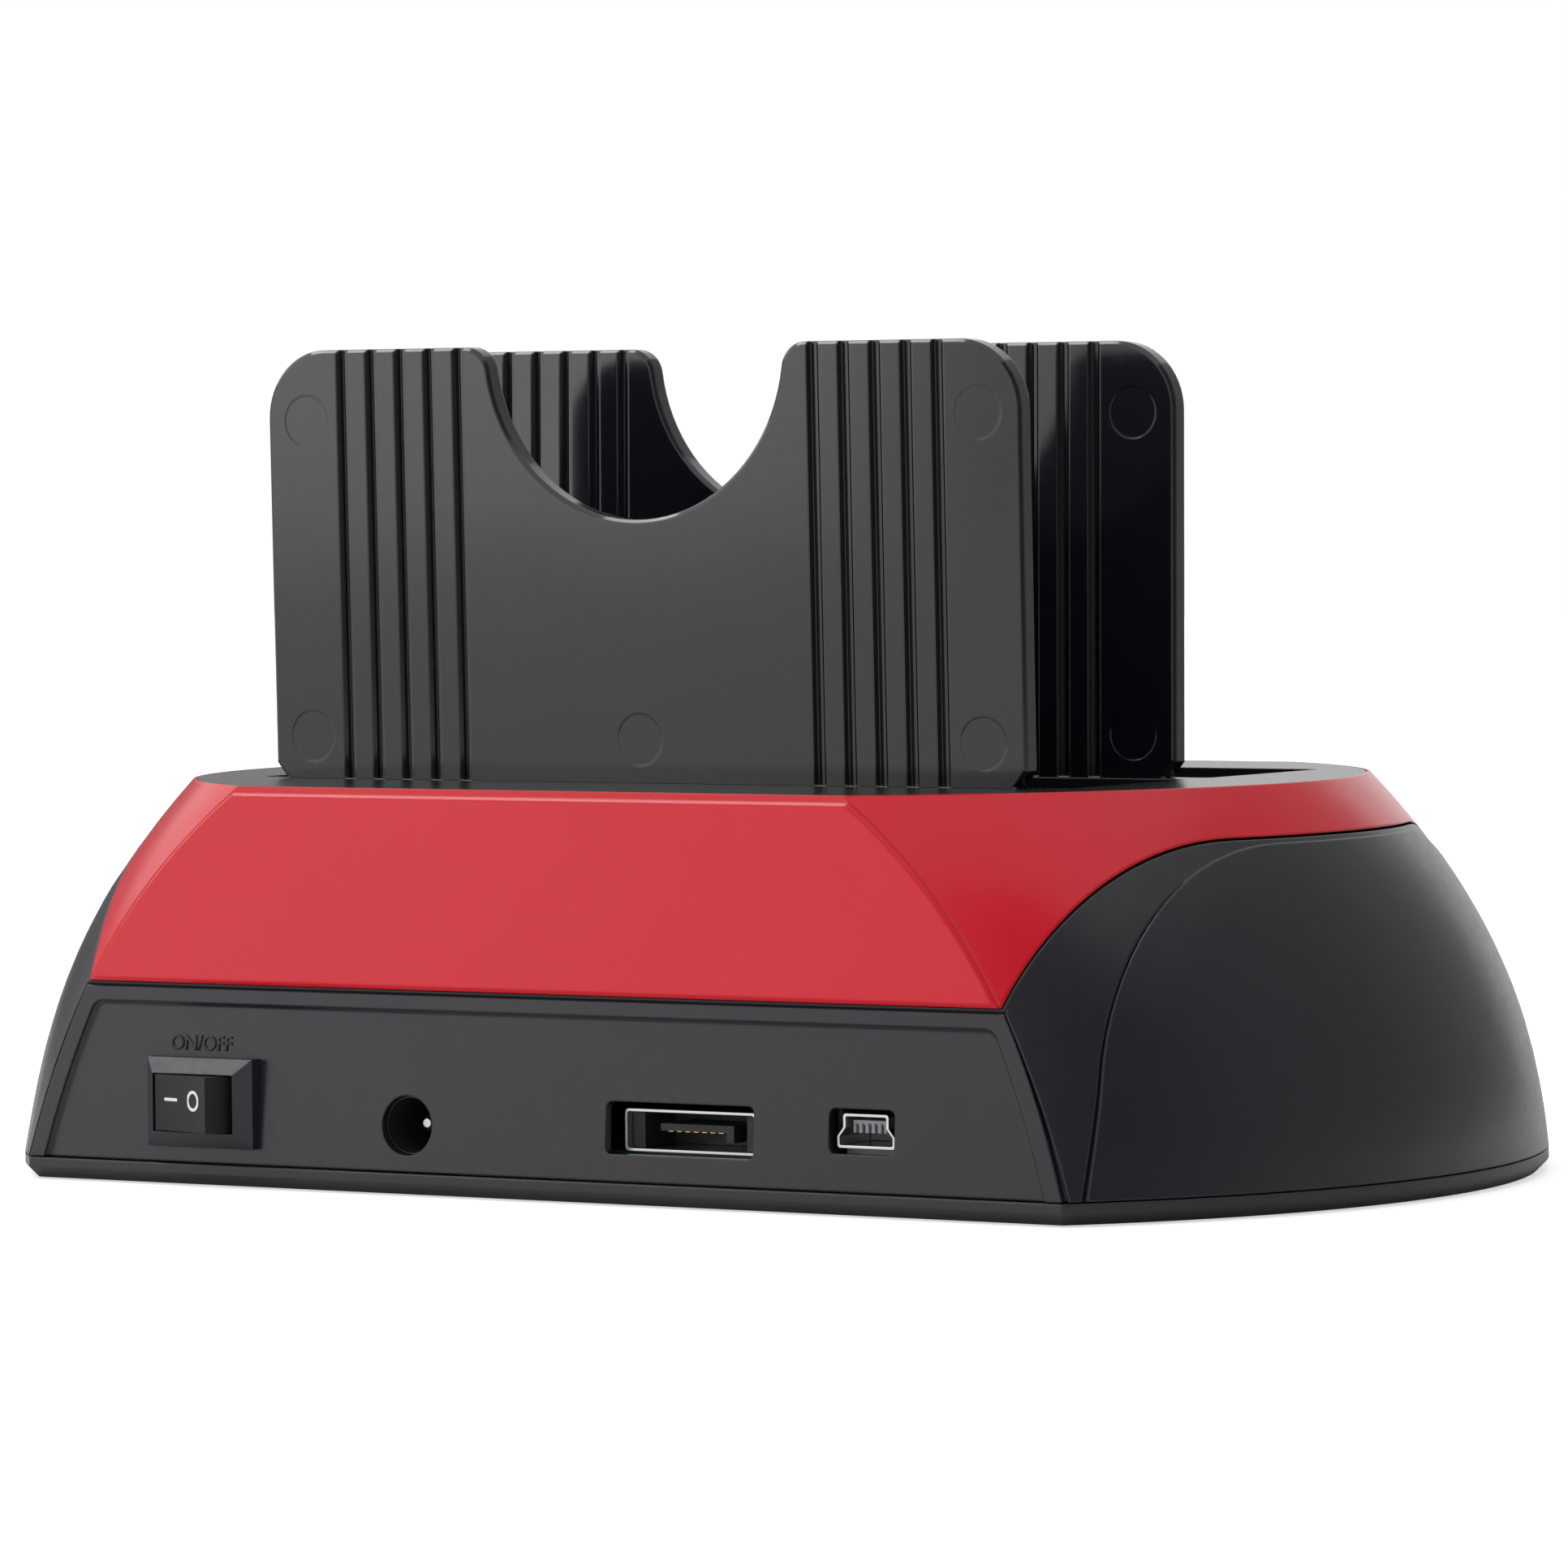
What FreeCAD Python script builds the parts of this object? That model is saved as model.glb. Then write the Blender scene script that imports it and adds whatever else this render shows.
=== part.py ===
"""Two-bay hard-disk duplicator dock, built as separate mouldings, boards and hardware.

Millimetres.  +Z is up, the user stands at -Y and the port panel is on the +Y side.  The
body is drawn about its own middle; main() then moves everything so that the origin is at
the middle of the overall footprint, on the surface that the feet stand on.
"""
import FreeCAD
import Part
import functools
import math
import os

Vector = FreeCAD.Vector

# ---------------------------------------------------------------- housing, outer form
BODY_HEIGHT = 46.1            # feet to the rim of the red shell
TRAY_TOP = 2.6                # top of the base tray's skirt
BASE_HALF_DEPTH = 55.05       # front and rear faces at the bottom
FACE_DRAFT = 2.8              # how far those faces lean in by the rim
BASE_CORNER_X = 69.2          # vertical corner crease at the bottom
RIM_CORNER_X = 40.6           # the same crease at the rim
CORNER_STRAIGHT = 0.45        # share of the crease's inward run that is straight
CORNER_POWER = 2.9            # how late the rest of the run turns in
BASE_REACH_X = 91.1           # furthest point of the bowed ends at the bottom
RIM_REACH_X = 70.95           # the same at the rim
REACH_POWER = 2.14            # roundness of the ends, seen from the front
LOFT_SECTIONS = 7
FORM_OVERRUN = 2.5            # the form is drawn a little past the tray's top and the rim

# ---------------------------------------------------------------- housing, walls and joins
WALL = 2.0
SHELL_GAP = 0.28              # dark line between the red and the black moulding
SEAM_GAP = 0.18               # line between the housing and the tray
LAP_WALL = 1.2                # inner lip that locates one moulding in the next
LAP_HEIGHT = 1.2
LAP_DEPTH = 2.4
LAP_CLEARANCE = 0.15
RED_BOTTOM_Z = 23.4           # lower edge of the red shell, front and rear
RED_END_Z = 40.6              # the same at the middle of the ends
RED_FLAT_HALF = 21.5          # half of the level stretch at the ends
FACET_RISE = 0.5              # red front and rear facets stand proud of the shell
FACET_ROOT = 0.15             # and start this far inside its face
FACET_MARGIN = 0.25
FACET_TOP_DROP = 0.7
FACET_EDGE = 0.4
SHELL_SEAT_EDGE = 0.4         # bevel on the black edge below the red shell

# ---------------------------------------------------------------- arch on each end
ARCH_TOP_STEP = 0.35          # the dome stands out at its top
ARCH_FOOT_STEP = -0.5         # and lies behind the band beside it at its feet
ARCH_TOP_Z = 39.8
ARCH_FLAT_HALF = 15.5
ARCH_LEG_RUN = 2.7            # how far a leg leans out below the round shoulder
ARCH_FOOT_SETBACK = 1.85      # foot of the arch, in from the front and rear faces
ARCH_LINE_WIDEN = 0.55        # the dark line beside the dome widens down its legs
ARCH_LINE_DEPTH = 0.6
ARCH_LINE_TOP_Z = 36.0
CREASE_WIDTH = 0.6            # relief along each corner crease, at its foot
CREASE_TOP_WIDTH = 0.15
CREASE_DEPTH = 1.0

# ---------------------------------------------------------------- recessed panels
PANEL_TOP_Z = 21.2
PANEL_DEPTH = 0.7
PANEL_SIDE_MARGIN = 2.1
PANEL_CORNER_R = 1.8
PANEL_FLOOR_BEVEL = 0.45

# ---------------------------------------------------------------- tray
FOOT_PROUD = 0.2
TRAY_FLOOR_TOP = 2.3
TRAY_EDGE = 1.2
TRAY_LIP_TOP = 4.4
FOOT_RADIUS = 6.0
FOOT_THICK = 1.3
FOOT_IN_X = 13.6             # feet, in from the corner creases and the faces
FOOT_IN_Y = 19.0
FOOT_EDGE = 0.25
FOOT_RECESS_GAP = 0.1

# ---------------------------------------------------------------- deck and bays
DECK_THICK = 2.5              # its top is level with the rim
DECK_CLEARANCE = 0.15
DECK_FLANGE = 0.8             # the deck's flange covers the shell's wall
DECK_FLANGE_GAP = 0.12
RIM_EDGE = 0.45               # red edge left outside the flange
LEDGE_WIDTH = 1.2
LEDGE_THICK = 1.5
BAY_HALF_WIDTH = 55.0
BAY_DEPTH = 27.1              # a 3.5-inch drive is 26.1 thick
BRIDGE = 2.1                  # deck between the two bays
BAY_CORNER_R = 1.2
BAY_EDGE_CHAMFER = 0.6
WELL_WALL = 1.5
WELL_FRONT_WALL = 1.0
WELL_FLOOR_TOP = 9.5
WELL_FLOOR_THICK = 1.5

# ---------------------------------------------------------------- lift-out back plates
PLATE_WIDTH = 102.0
PLATE_TOP_Z = 96.25
PLATE_THICK = 2.65
PLATE_REAR_Y = 30.05          # rear face of the rear plate
PLATE_CORNER_R = 8.0
PLATE_EDGE = 0.4
TONGUE_THICK = 1.4
TONGUE_HALF = 49.6
TONGUE_LENGTH = 14.0
TONGUE_CLEARANCE = 0.35       # play of a tongue in its pocket, front to back
TONGUE_SIDE_PLAY = 1.2        # and sideways
POCKET_WALL = 0.9
POCKET_FLOOR = 1.5
REAR_PLATE_LEAN = 1.2         # the plates stand a little loose, so they lean
FRONT_PLATE_LEAN = -0.66
FRONT_PLATE_ASIDE = -1.0
SHOULDER_CHAMFER = 1.8
PLATE_FOOT_GAP = 0.08         # shoulders to the deck
NOTCH_RADIUS = 20.0
NOTCH_LIP_R = 3.2
GROOVE_COUNT = 5
GROOVE_FIRST_X = 23.89
GROOVE_PITCH = 4.07
GROOVE_WIDTH = 1.15
GROOVE_DEPTH = 0.9
GROOVE_BEVEL = 0.45
PAD_RADIUS = 3.0
PAD_X = 45.5
PAD_HIGH_Z = 88.0
PAD_LOW_Z = 51.1
PAD_SINK = 0.06               # ejector pin marks

# ---------------------------------------------------------------- board
BOARD_TOP = 5.9
BOARD_THICK = 1.6
BOARD_MARGIN = 6.5            # board beyond its end screws
BOARD_EDGE_GAP = 0.9          # board to the tray's lip
BOARD_NOTCH_GAP = 0.4         # round the jack and the switch
BOARD_CORNER_R = 14.0
STANDOFF_R = 3.0
STANDOFF_GAP = 1.5            # standoff to the bay wells
STANDOFF_Y = 24.0
BOARD_SCREW_R = 1.2
BOARD_SCREW_HEAD_R = 2.5
BOARD_SCREW_HEAD = 1.6
BOSS_R = 3.2
BOSS_HOLE_R = 1.25
BOSS_CLEARANCE = 0.6
SCREW_HOLE_GAP = 0.25
REAR_BOSS_X = 33.0            # between the switch and the power inlet
FRONT_BOSS_X = 40.5           # outside the row of lights
BOSS_HOLE_DEPTH = 14.0
CASE_SCREW_R = 1.25
CASE_SCREW_HEAD_R = 2.6
CASE_SCREW_HEAD = 1.2
CASE_SCREW_LENGTH = 12.0
FIT = 0.02                    # face-to-face seats of screws and inserts
SCREW_SLOT = (3.0, 0.6, 0.8)  # length, width and depth of each cross slot
JOIN = 0.5                    # how far fused pieces run into each other
SEAT_GAP = 0.1                # behind the leaning walls

# ---------------------------------------------------------------- parts on the board
BRIDGE_CHIP = (12.0, 12.0, 1.2)
SUPPORT_CHIP = (7.0, 5.0, 1.1)
FRONT_CHIP_X = 50.5
REAR_CHIP_X = 57.0
CRYSTAL = (11.0, 4.5, 3.4)
CRYSTAL_X = -11.0
CRYSTAL_CORNER_R = 2.0
CAPACITOR_R = 2.0
CAPACITOR_HEIGHT = 7.0
CAPACITOR_EDGE = 0.3
REAR_CAPACITOR_XS = (24.8, -52.0)
FRONT_CAPACITOR_X = 19.5
INDUCTOR_X = 12.5
INDUCTOR_R = 3.0
INDUCTOR_HEIGHT = 3.2
INDUCTOR_BASE = (6.4, 6.4, 0.8)

# ---------------------------------------------------------------- SATA sockets
SATA_X = 20.7
SATA_FROM_PLATE = 5.0
SATA_LENGTH = 43.6
SATA_THICK = 6.0
SATA_TOP = 16.0
SATA_CAVITY_WIDTH = 2.4
SATA_CAVITY_DEPTH = 5.2
SATA_POWER_LENGTH = 21.2
SATA_DATA_LENGTH = 10.9
SATA_PITCH = 1.27
SATA_CUTOUT_CLEARANCE = 0.3

# ---------------------------------------------------------------- ports, left to right on the rear
SWITCH_X = 44.6
SWITCH_Z = 9.75
SWITCH_LENGTH = 14.8
SWITCH_HEIGHT = 10.3
SWITCH_RIM = 1.2
SWITCH_BEVEL = 1.75
SWITCH_RISE = 1.5
SWITCH_BODY_LENGTH = 13.0
SWITCH_BODY_HEIGHT = 8.6
SWITCH_BODY_DEPTH = 9.5
SWITCH_WALL = 1.0
ROCKER_HALF = 4.5             # half the length of its face
ROCKER_WAIST = 5.2            # half its length at the pivot
ROCKER_HEIGHT = 6.45
ROCKER_TILT = 15.0            # each way from level
ROCKER_FACE = 3.7             # face above its pivot
ROCKER_DISH = 0.35            # hollow of the face
ROCKER_BACK = 1.9
ROCKER_DROP = 2.5             # pivot below the frame's inner edge
ROCKER_PIN_R = 0.8
ROCKER_PIN_CLEARANCE = 0.06
JACK_X = 16.6
JACK_Z = 8.0
JACK_HOLE_R = 3.4
JACK_BORE_R = 3.15
JACK_PIN_R = 1.0
JACK_PIN_SETBACK = 4.0
JACK_WIDTH = 9.0
JACK_HEIGHT = 9.0
JACK_LENGTH = 13.5
JACK_COLLAR = 0.8
JACK_BORE_FLOOR = 2.5
JACK_SPRING = (2.0, 6.5, 0.35)
ESATA_X = -19.9
ESATA_Z = 8.75
ESATA_OPENING = (19.4, 5.9)
ESATA_SHELL = (17.3, 4.75)
ESATA_SHELL_DROP = 0.35       # shell below the middle of its opening
ESATA_SETBACK = 2.3
ESATA_TONGUE = (9.6, 0.8)
ESATA_PITCH = 1.1
ESATA_LENGTH = 15.0
ESATA_CORNER_R = 0.5
INSERT_GAP = 0.05             # insulators inside their shells
SHEET = 0.3
USB_X = -43.5
USB_Z = 9.4
USB_OPENING = (8.4, 5.0)
USB_SHELL = (7.4, 3.8)
USB_NARROW = 0.8              # each side steps in by this at the top
USB_SETBACK = 0.9
USB_LENGTH = 8.6
USB_TONGUE = (4.2, 1.4)
USB_TONGUE_LIFT = 0.45
USB_PITCH = 0.8

# ---------------------------------------------------------------- front controls
BUTTON_X = 0.0
CONTROL_Z = 12.0
BUTTON_LENGTH = 13.0
BUTTON_HEIGHT = 6.4
BUTTON_PROUD = 1.2
BUTTON_TRAVEL = 0.8
BUTTON_CLEARANCE = 0.2
BUTTON_FLANGE = 0.9
BUTTON_FLANGE_THICK = 1.2
BUTTON_STEM = (2.4, 3.0)      # width, and length from the flange's front
BUTTON_EDGE = 0.4
LIGHT_R = 1.2
LIGHT_XS = (-34.0, -27.0, -20.0)
LIGHT_PROUD = 0.25
LIGHT_LENGTH = 6.0
LIGHT_COLLAR = 0.7
LIGHT_COLLAR_THICK = 1.0
LIGHT_CLEARANCE = 0.1
LED_WIDTH = 3.2
LED_DEPTH = 1.8
LED_GAP = 0.3
TACT_SIZE = 6.0
TACT_DEPTH = 3.5
TACT_PLUNGER_R = 1.6
TACT_PLUNGER_GAP = 0.15
TACT_SPARE = 0.2              # plunger left over at the end of its travel
TACT_BORE = 2.2

RIM_HALF_DEPTH = BASE_HALF_DEPTH - FACE_DRAFT
ARCH_RADIUS = BASE_HALF_DEPTH - ARCH_FOOT_SETBACK - ARCH_FLAT_HALF - ARCH_LEG_RUN
TOP_Z = BODY_HEIGHT
DECK_BOTTOM = TOP_Z - DECK_THICK
PLATE_FOOT_Z = TOP_Z + PLATE_FOOT_GAP
PLATE_FRONT_REAR_Y = PLATE_REAR_Y - PLATE_THICK - BAY_DEPTH - BRIDGE - TONGUE_CLEARANCE
FACE_LEAN = math.degrees(math.atan2(BASE_HALF_DEPTH - RIM_HALF_DEPTH, BODY_HEIGHT))


# ================================================================ small helpers
def box(x0, x1, y0, y1, z0, z1):
    return Part.makeBox(x1 - x0, y1 - y0, z1 - z0, Vector(x0, y0, z0))


def centred_box(x, z, length, height, y0, y1):
    """A block along Y, centred on (x, z)."""
    return box(x - length / 2, x + length / 2, y0, y1, z - height / 2, z + height / 2)


def cylinder(x, y, z, radius, height, axis=Vector(0, 0, 1)):
    return Part.makeCylinder(radius, height, Vector(x, y, z), axis)


def fuse(shapes):
    result = shapes[0]
    if len(shapes) > 1:
        result = result.multiFuse(shapes[1:])
    return result.removeSplitter()


def cut(shape, tools):
    return shape.cut(Part.makeCompound(tools))


def mirror_y(shape):
    return shape.mirror(Vector(0, 0, 0), Vector(0, 1, 0))


def mirror_x(shape):
    return shape.mirror(Vector(0, 0, 0), Vector(1, 0, 0))


def edges_along(shape, direction, test):
    """Straight edges parallel to a direction whose middle passes a test."""
    found = []
    for edge in shape.Edges:
        if not isinstance(edge.Curve, Part.Line):
            continue
        run = edge.Vertexes[1].Point.sub(edge.Vertexes[0].Point)
        if run.Length < 1e-6 or abs(abs(run.normalize().dot(direction)) - 1) > 1e-6:
            continue
        if test(edge.CenterOfMass):
            found.append(edge)
    return found


def rounded_block(x, z, length, height, y0, y1, radius):
    block = centred_box(x, z, length, height, y0, y1)
    return block.makeFillet(radius, edges_along(block, Vector(0, 1, 0), lambda p: True))


def prism_x(wire, half_width):
    """Extrude a closed wire drawn in the YZ plane to both sides."""
    face = Part.Face(wire)
    face.translate(Vector(-half_width, 0, 0))
    return face.extrude(Vector(2 * half_width, 0, 0))


def line(a, b):
    return Part.LineSegment(a, b).toShape()


def arc(a, middle, b):
    return Part.Arc(a, middle, b).toShape()


def solids_only(shape):
    """One solid, or a compound of the separate solids."""
    if len(shape.Solids) == 1:
        return shape.Solids[0]
    return Part.makeCompound(shape.Solids)


# ================================================================ outer form
def rise(z):
    """0 at the tray's top and 1 at the rim."""
    return (z - TRAY_TOP) / (BODY_HEIGHT - TRAY_TOP)


def half_depth(z):
    return BASE_HALF_DEPTH + (RIM_HALF_DEPTH - BASE_HALF_DEPTH) * z / BODY_HEIGHT


def corner_x(z):
    h = rise(z)
    run = CORNER_STRAIGHT * h + (1 - CORNER_STRAIGHT) * max(0.0, h) ** CORNER_POWER
    return BASE_CORNER_X + (RIM_CORNER_X - BASE_CORNER_X) * run


def reach_x(z):
    return BASE_REACH_X + (RIM_REACH_X - BASE_REACH_X) * max(0.0, rise(z)) ** REACH_POWER


def arch_step(z):
    """How far the dome of the arch stands out from the band beside it."""
    return ARCH_FOOT_STEP + (ARCH_TOP_STEP - ARCH_FOOT_STEP) * min(1.0, z / ARCH_TOP_Z)


def section(z, inset=0.0, arch=False):
    """Outline at one height: straight front and rear, bowed ends, moved in by inset."""
    depth = half_depth(z)
    corner = corner_x(z)
    reach = reach_x(z) - (0.0 if arch else arch_step(z))
    bow = reach - corner
    radius = (depth * depth + bow * bow) / (2 * bow)
    centre = reach - radius
    y = depth - inset
    x = centre + math.sqrt((radius - inset) ** 2 - y * y)
    tip = reach - inset
    return Part.Wire([
        line(Vector(-x, y, z), Vector(x, y, z)),
        arc(Vector(x, y, z), Vector(tip, 0, z), Vector(x, -y, z)),
        line(Vector(x, -y, z), Vector(-x, -y, z)),
        arc(Vector(-x, -y, z), Vector(-tip, 0, z), Vector(-x, y, z)),
    ])


@functools.lru_cache(maxsize=None)
def whole_form(inset, arch):
    """The outer form over its full height; every part takes its walls from these."""
    low = TRAY_TOP - FORM_OVERRUN
    step = (BODY_HEIGHT + FORM_OVERRUN - low) / (LOFT_SECTIONS - 1)
    return Part.makeLoft([section(low + i * step, inset, arch) for i in range(LOFT_SECTIONS)], True, False)


def envelope(z0, z1, inset=0.0, arch=False):
    """The outer form between two heights."""
    reach = 2 * BASE_REACH_X
    return whole_form(round(inset, 6), arch).common(box(-reach, reach, -reach, reach, z0, z1))


def slab(z_shape, inset, z0, z1, arch=False):
    """Upright slab with the outline that the form has at one height."""
    outline = Part.Face(section(z_shape, inset, arch))
    outline.translate(Vector(0, 0, z0 - z_shape))
    return outline.extrude(Vector(0, 0, z1 - z0))


def shell_line(drop, upper):
    """Closed YZ wire above (upper) or below the line where red meets black."""
    flat_z = RED_END_Z - drop
    low_z = RED_BOTTOM_Z - drop
    low_y = half_depth(RED_BOTTOM_Z)
    span = low_y - RED_FLAT_HALF
    fall = flat_z - low_z
    radius = (span * span + fall * fall) / (2 * fall)
    turn = math.asin(span / radius) / 2
    mid = Vector(0, RED_FLAT_HALF + radius * math.sin(turn), flat_z - radius + radius * math.cos(turn))
    far_y = BASE_HALF_DEPTH + 10
    far_z = BODY_HEIGHT + 10 if upper else -10
    a = Vector(0, -far_y, low_z)
    b = Vector(0, -low_y, low_z)
    c = Vector(0, -RED_FLAT_HALF, flat_z)
    d = Vector(0, RED_FLAT_HALF, flat_z)
    e = Vector(0, low_y, low_z)
    f = Vector(0, far_y, low_z)
    return Part.Wire([
        line(a, b),
        arc(b, Vector(0, -mid.y, mid.z), c),
        line(c, d),
        arc(d, mid, e),
        line(e, f),
        line(f, Vector(0, far_y, far_z)),
        line(Vector(0, far_y, far_z), Vector(0, -far_y, far_z)),
        line(Vector(0, -far_y, far_z), a),
    ])


def arch_wire(bottom, narrow=0.0):
    """Closed YZ wire of the arch on each end: leaning legs, round shoulders, level top."""
    radius = ARCH_RADIUS - narrow
    foot_y = BASE_HALF_DEPTH - ARCH_FOOT_SETBACK - narrow
    centre_z = ARCH_TOP_Z - radius
    dy = foot_y - ARCH_FLAT_HALF
    dz = bottom - centre_z
    reach = math.hypot(dy, dz)
    angle = math.atan2(dz, dy) + math.acos(radius / reach)
    middle = (angle + math.pi / 2) / 2

    def on_round(turn):
        return Vector(0, ARCH_FLAT_HALF + radius * math.cos(turn), centre_z + radius * math.sin(turn))

    def left(p):
        return Vector(0, -p.y, p.z)

    foot = Vector(0, foot_y, bottom)
    tangent = on_round(angle)
    shoulder = on_round(middle)
    top = Vector(0, ARCH_FLAT_HALF, ARCH_TOP_Z)
    return Part.Wire([
        line(foot, tangent),
        arc(tangent, shoulder, top),
        line(top, left(top)),
        arc(left(top), left(shoulder), left(tangent)),
        line(left(tangent), left(foot)),
        line(left(foot), foot),
    ])


def on_face(shape):
    """Move a shape drawn against the plane Y = 0 onto the leaning rear face."""
    moved = shape.copy()
    lean = FreeCAD.Rotation(Vector(1, 0, 0), FACE_LEAN)
    moved.Placement = FreeCAD.Placement(Vector(0, BASE_HALF_DEPTH, 0), lean).multiply(moved.Placement)
    return moved


def face_outline(z0, z1, margin, y):
    """XZ wire on the rear face, kept a margin inside the corner creases."""
    def at(z, side):
        return Vector(side * (corner_x(z) - margin), y, z)

    mid = (z0 + z1) / 2
    return Part.Wire([
        line(at(z0, -1), at(z0, 1)),
        arc(at(z0, 1), at(mid, 1), at(z1, 1)),
        line(at(z1, 1), at(z1, -1)),
        arc(at(z1, -1), at(mid, -1), at(z0, -1)),
    ])


def panel_floor_y(z):
    """Where the recessed panel's surface is at a height, on the rear side."""
    return half_depth(z) - PANEL_DEPTH / math.cos(math.radians(FACE_LEAN))


def wall_inner_y(z):
    return half_depth(z) - WALL


# ================================================================ housing mouldings
def panel_recess():
    low = TRAY_TOP - 2
    outline = Part.Face(face_outline(low, PANEL_TOP_Z, PANEL_SIDE_MARGIN, -PANEL_DEPTH))
    block = outline.extrude(Vector(0, PANEL_DEPTH + 3, 0))
    corners = edges_along(block, Vector(0, 1, 0), lambda p: p.z > PANEL_TOP_Z - 0.5)
    block = block.makeFillet(PANEL_CORNER_R, corners)
    deep = [e for e in block.Edges if max(v.Y for v in e.Vertexes) < -PANEL_DEPTH + 1e-3]
    floor = [e for e in deep if e.BoundBox.ZMax > low + 1e-3]
    return on_face(block.makeChamfer(PANEL_FLOOR_BEVEL, floor))


def crease_relief():
    """Tapering notch just outside the rear corner creases."""
    low = TRAY_TOP - 1
    high = RED_BOTTOM_Z - SHELL_GAP

    def at(z, side, out):
        return Vector(side * (corner_x(z) + out), -CREASE_DEPTH, z)

    cuts = []
    mid = (low + high) / 2
    half_width = (CREASE_WIDTH + CREASE_TOP_WIDTH) / 2
    for side in (-1, 1):
        wire = Part.Wire([
            arc(at(low, side, 0), at(mid, side, 0), at(high, side, 0)),
            line(at(high, side, 0), at(high, side, CREASE_TOP_WIDTH)),
            arc(at(high, side, CREASE_TOP_WIDTH), at(mid, side, half_width), at(low, side, CREASE_WIDTH)),
            line(at(low, side, CREASE_WIDTH), at(low, side, 0)),
        ])
        cuts.append(on_face(Part.Face(wire).extrude(Vector(0, CREASE_DEPTH + 2, 0))))
    return cuts


def seat_bevel():
    """Bevel along the top edge of the rear face, where the red shell meets it."""
    z = RED_BOTTOM_Z - SHELL_GAP
    y = half_depth(z)
    half = corner_x(z) + 1
    inner, outer = Vector(-half, y - SHELL_SEAT_EDGE, z), Vector(-half, y + 1, z)
    ends = [inner, outer, outer - Vector(0, 0, SHELL_SEAT_EDGE + 1)]
    return Part.Face(Part.makePolygon(ends + [ends[0]])).extrude(Vector(2 * half, 0, 0))


def port_cutouts():
    """Holes through the rear panel."""
    y0 = BASE_HALF_DEPTH - 6
    y1 = BASE_HALF_DEPTH + 2
    esata = rounded_block(ESATA_X, ESATA_Z, ESATA_OPENING[0], ESATA_OPENING[1], y0, y1, 0.8)
    usb = rounded_block(USB_X, USB_Z, USB_OPENING[0], USB_OPENING[1], y0, y1, 0.8)
    jack = cylinder(JACK_X, y0, JACK_Z, JACK_HOLE_R, y1 - y0, Vector(0, 1, 0))
    switch = centred_box(SWITCH_X, SWITCH_Z, SWITCH_BODY_LENGTH + 0.3, SWITCH_BODY_HEIGHT + 0.3, y0, y1)
    return [esata, usb, jack, switch]


def control_cutouts():
    """Holes through the front panel."""
    y0 = -BASE_HALF_DEPTH - 2
    y1 = -BASE_HALF_DEPTH + 6
    length = BUTTON_LENGTH + 2 * BUTTON_CLEARANCE
    height = BUTTON_HEIGHT + 2 * BUTTON_CLEARANCE
    holes = [rounded_block(BUTTON_X, CONTROL_Z, length, height, y0, y1, height / 2 - 0.01)]
    for x in LIGHT_XS:
        holes.append(cylinder(x, y0, CONTROL_Z, LIGHT_R + LIGHT_CLEARANCE, y1 - y0, Vector(0, 1, 0)))
    return holes


def make_lower_housing():
    bottom = TRAY_TOP + SEAM_GAP
    top = RED_END_Z + 2
    below = prism_x(shell_line(SHELL_GAP, False), BASE_REACH_X + 5)
    wide = BASE_REACH_X + 5
    arch = prism_x(arch_wire(bottom), wide)
    dome = envelope(bottom, top, 0.0, True).common(arch)
    core = envelope(bottom, top, ARCH_LINE_DEPTH)
    line_zone = arch.cut(prism_x(arch_wire(bottom, ARCH_LINE_WIDEN), wide)).cut(core)
    line_zone = line_zone.common(box(-wide, wide, -wide, wide, bottom, ARCH_LINE_TOP_Z))
    shell = fuse([envelope(bottom, top).cut(arch), dome]).common(below).cut(line_zone)
    hollow = envelope(bottom - 1, top + 1, WALL)
    lap_top = prism_x(shell_line(-LAP_HEIGHT, False), BASE_REACH_X + 5)
    lap_low = prism_x(shell_line(LAP_DEPTH, True), BASE_REACH_X + 5)
    lap = hollow.cut(envelope(bottom - 2, top + 2, WALL + LAP_WALL)).common(lap_top).common(lap_low)
    shell = fuse([shell.cut(hollow), lap])
    trims = [panel_recess(), seat_bevel()] + crease_relief()
    trims += [mirror_y(trim) for trim in trims]
    return solids_only(cut(shell, trims + port_cutouts() + control_cutouts()))


def make_upper_shell():
    low = RED_BOTTOM_Z - 1
    above = prism_x(shell_line(0.0, True), BASE_REACH_X + 5)
    thin = WALL - LAP_CLEARANCE
    hollow = envelope(low - 1, TOP_Z + 1, thin)
    rebate = envelope(TOP_Z - DECK_FLANGE, TOP_Z + 1, RIM_EDGE)
    shell = cut(envelope(low, TOP_Z).common(above), [hollow, rebate])
    x, y = BASE_REACH_X, BASE_HALF_DEPTH
    level = box(-x, x, -y, y, DECK_BOTTOM - LEDGE_THICK, DECK_BOTTOM)
    inner = envelope(low - 2, BODY_HEIGHT + 2, thin + LEDGE_WIDTH)
    rooms = [well_block(plate_y, LEDGE_WIDTH / 2) for plate_y in (PLATE_REAR_Y, PLATE_FRONT_REAR_Y)]
    ledge = cut(hollow.common(level), [inner] + rooms)
    outline = face_outline(RED_BOTTOM_Z + FIT, BODY_HEIGHT - FACET_TOP_DROP, FACET_MARGIN, -FACET_ROOT)
    facet = Part.Face(outline).extrude(Vector(0, FACET_ROOT + FACET_RISE, 0))
    rim = [e for e in facet.Edges if min(v.Y for v in e.Vertexes) > FACET_RISE - 1e-3]
    facet = on_face(facet.makeChamfer(FACET_EDGE, rim))
    return solids_only(fuse([shell, ledge, facet, mirror_y(facet)]))


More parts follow.
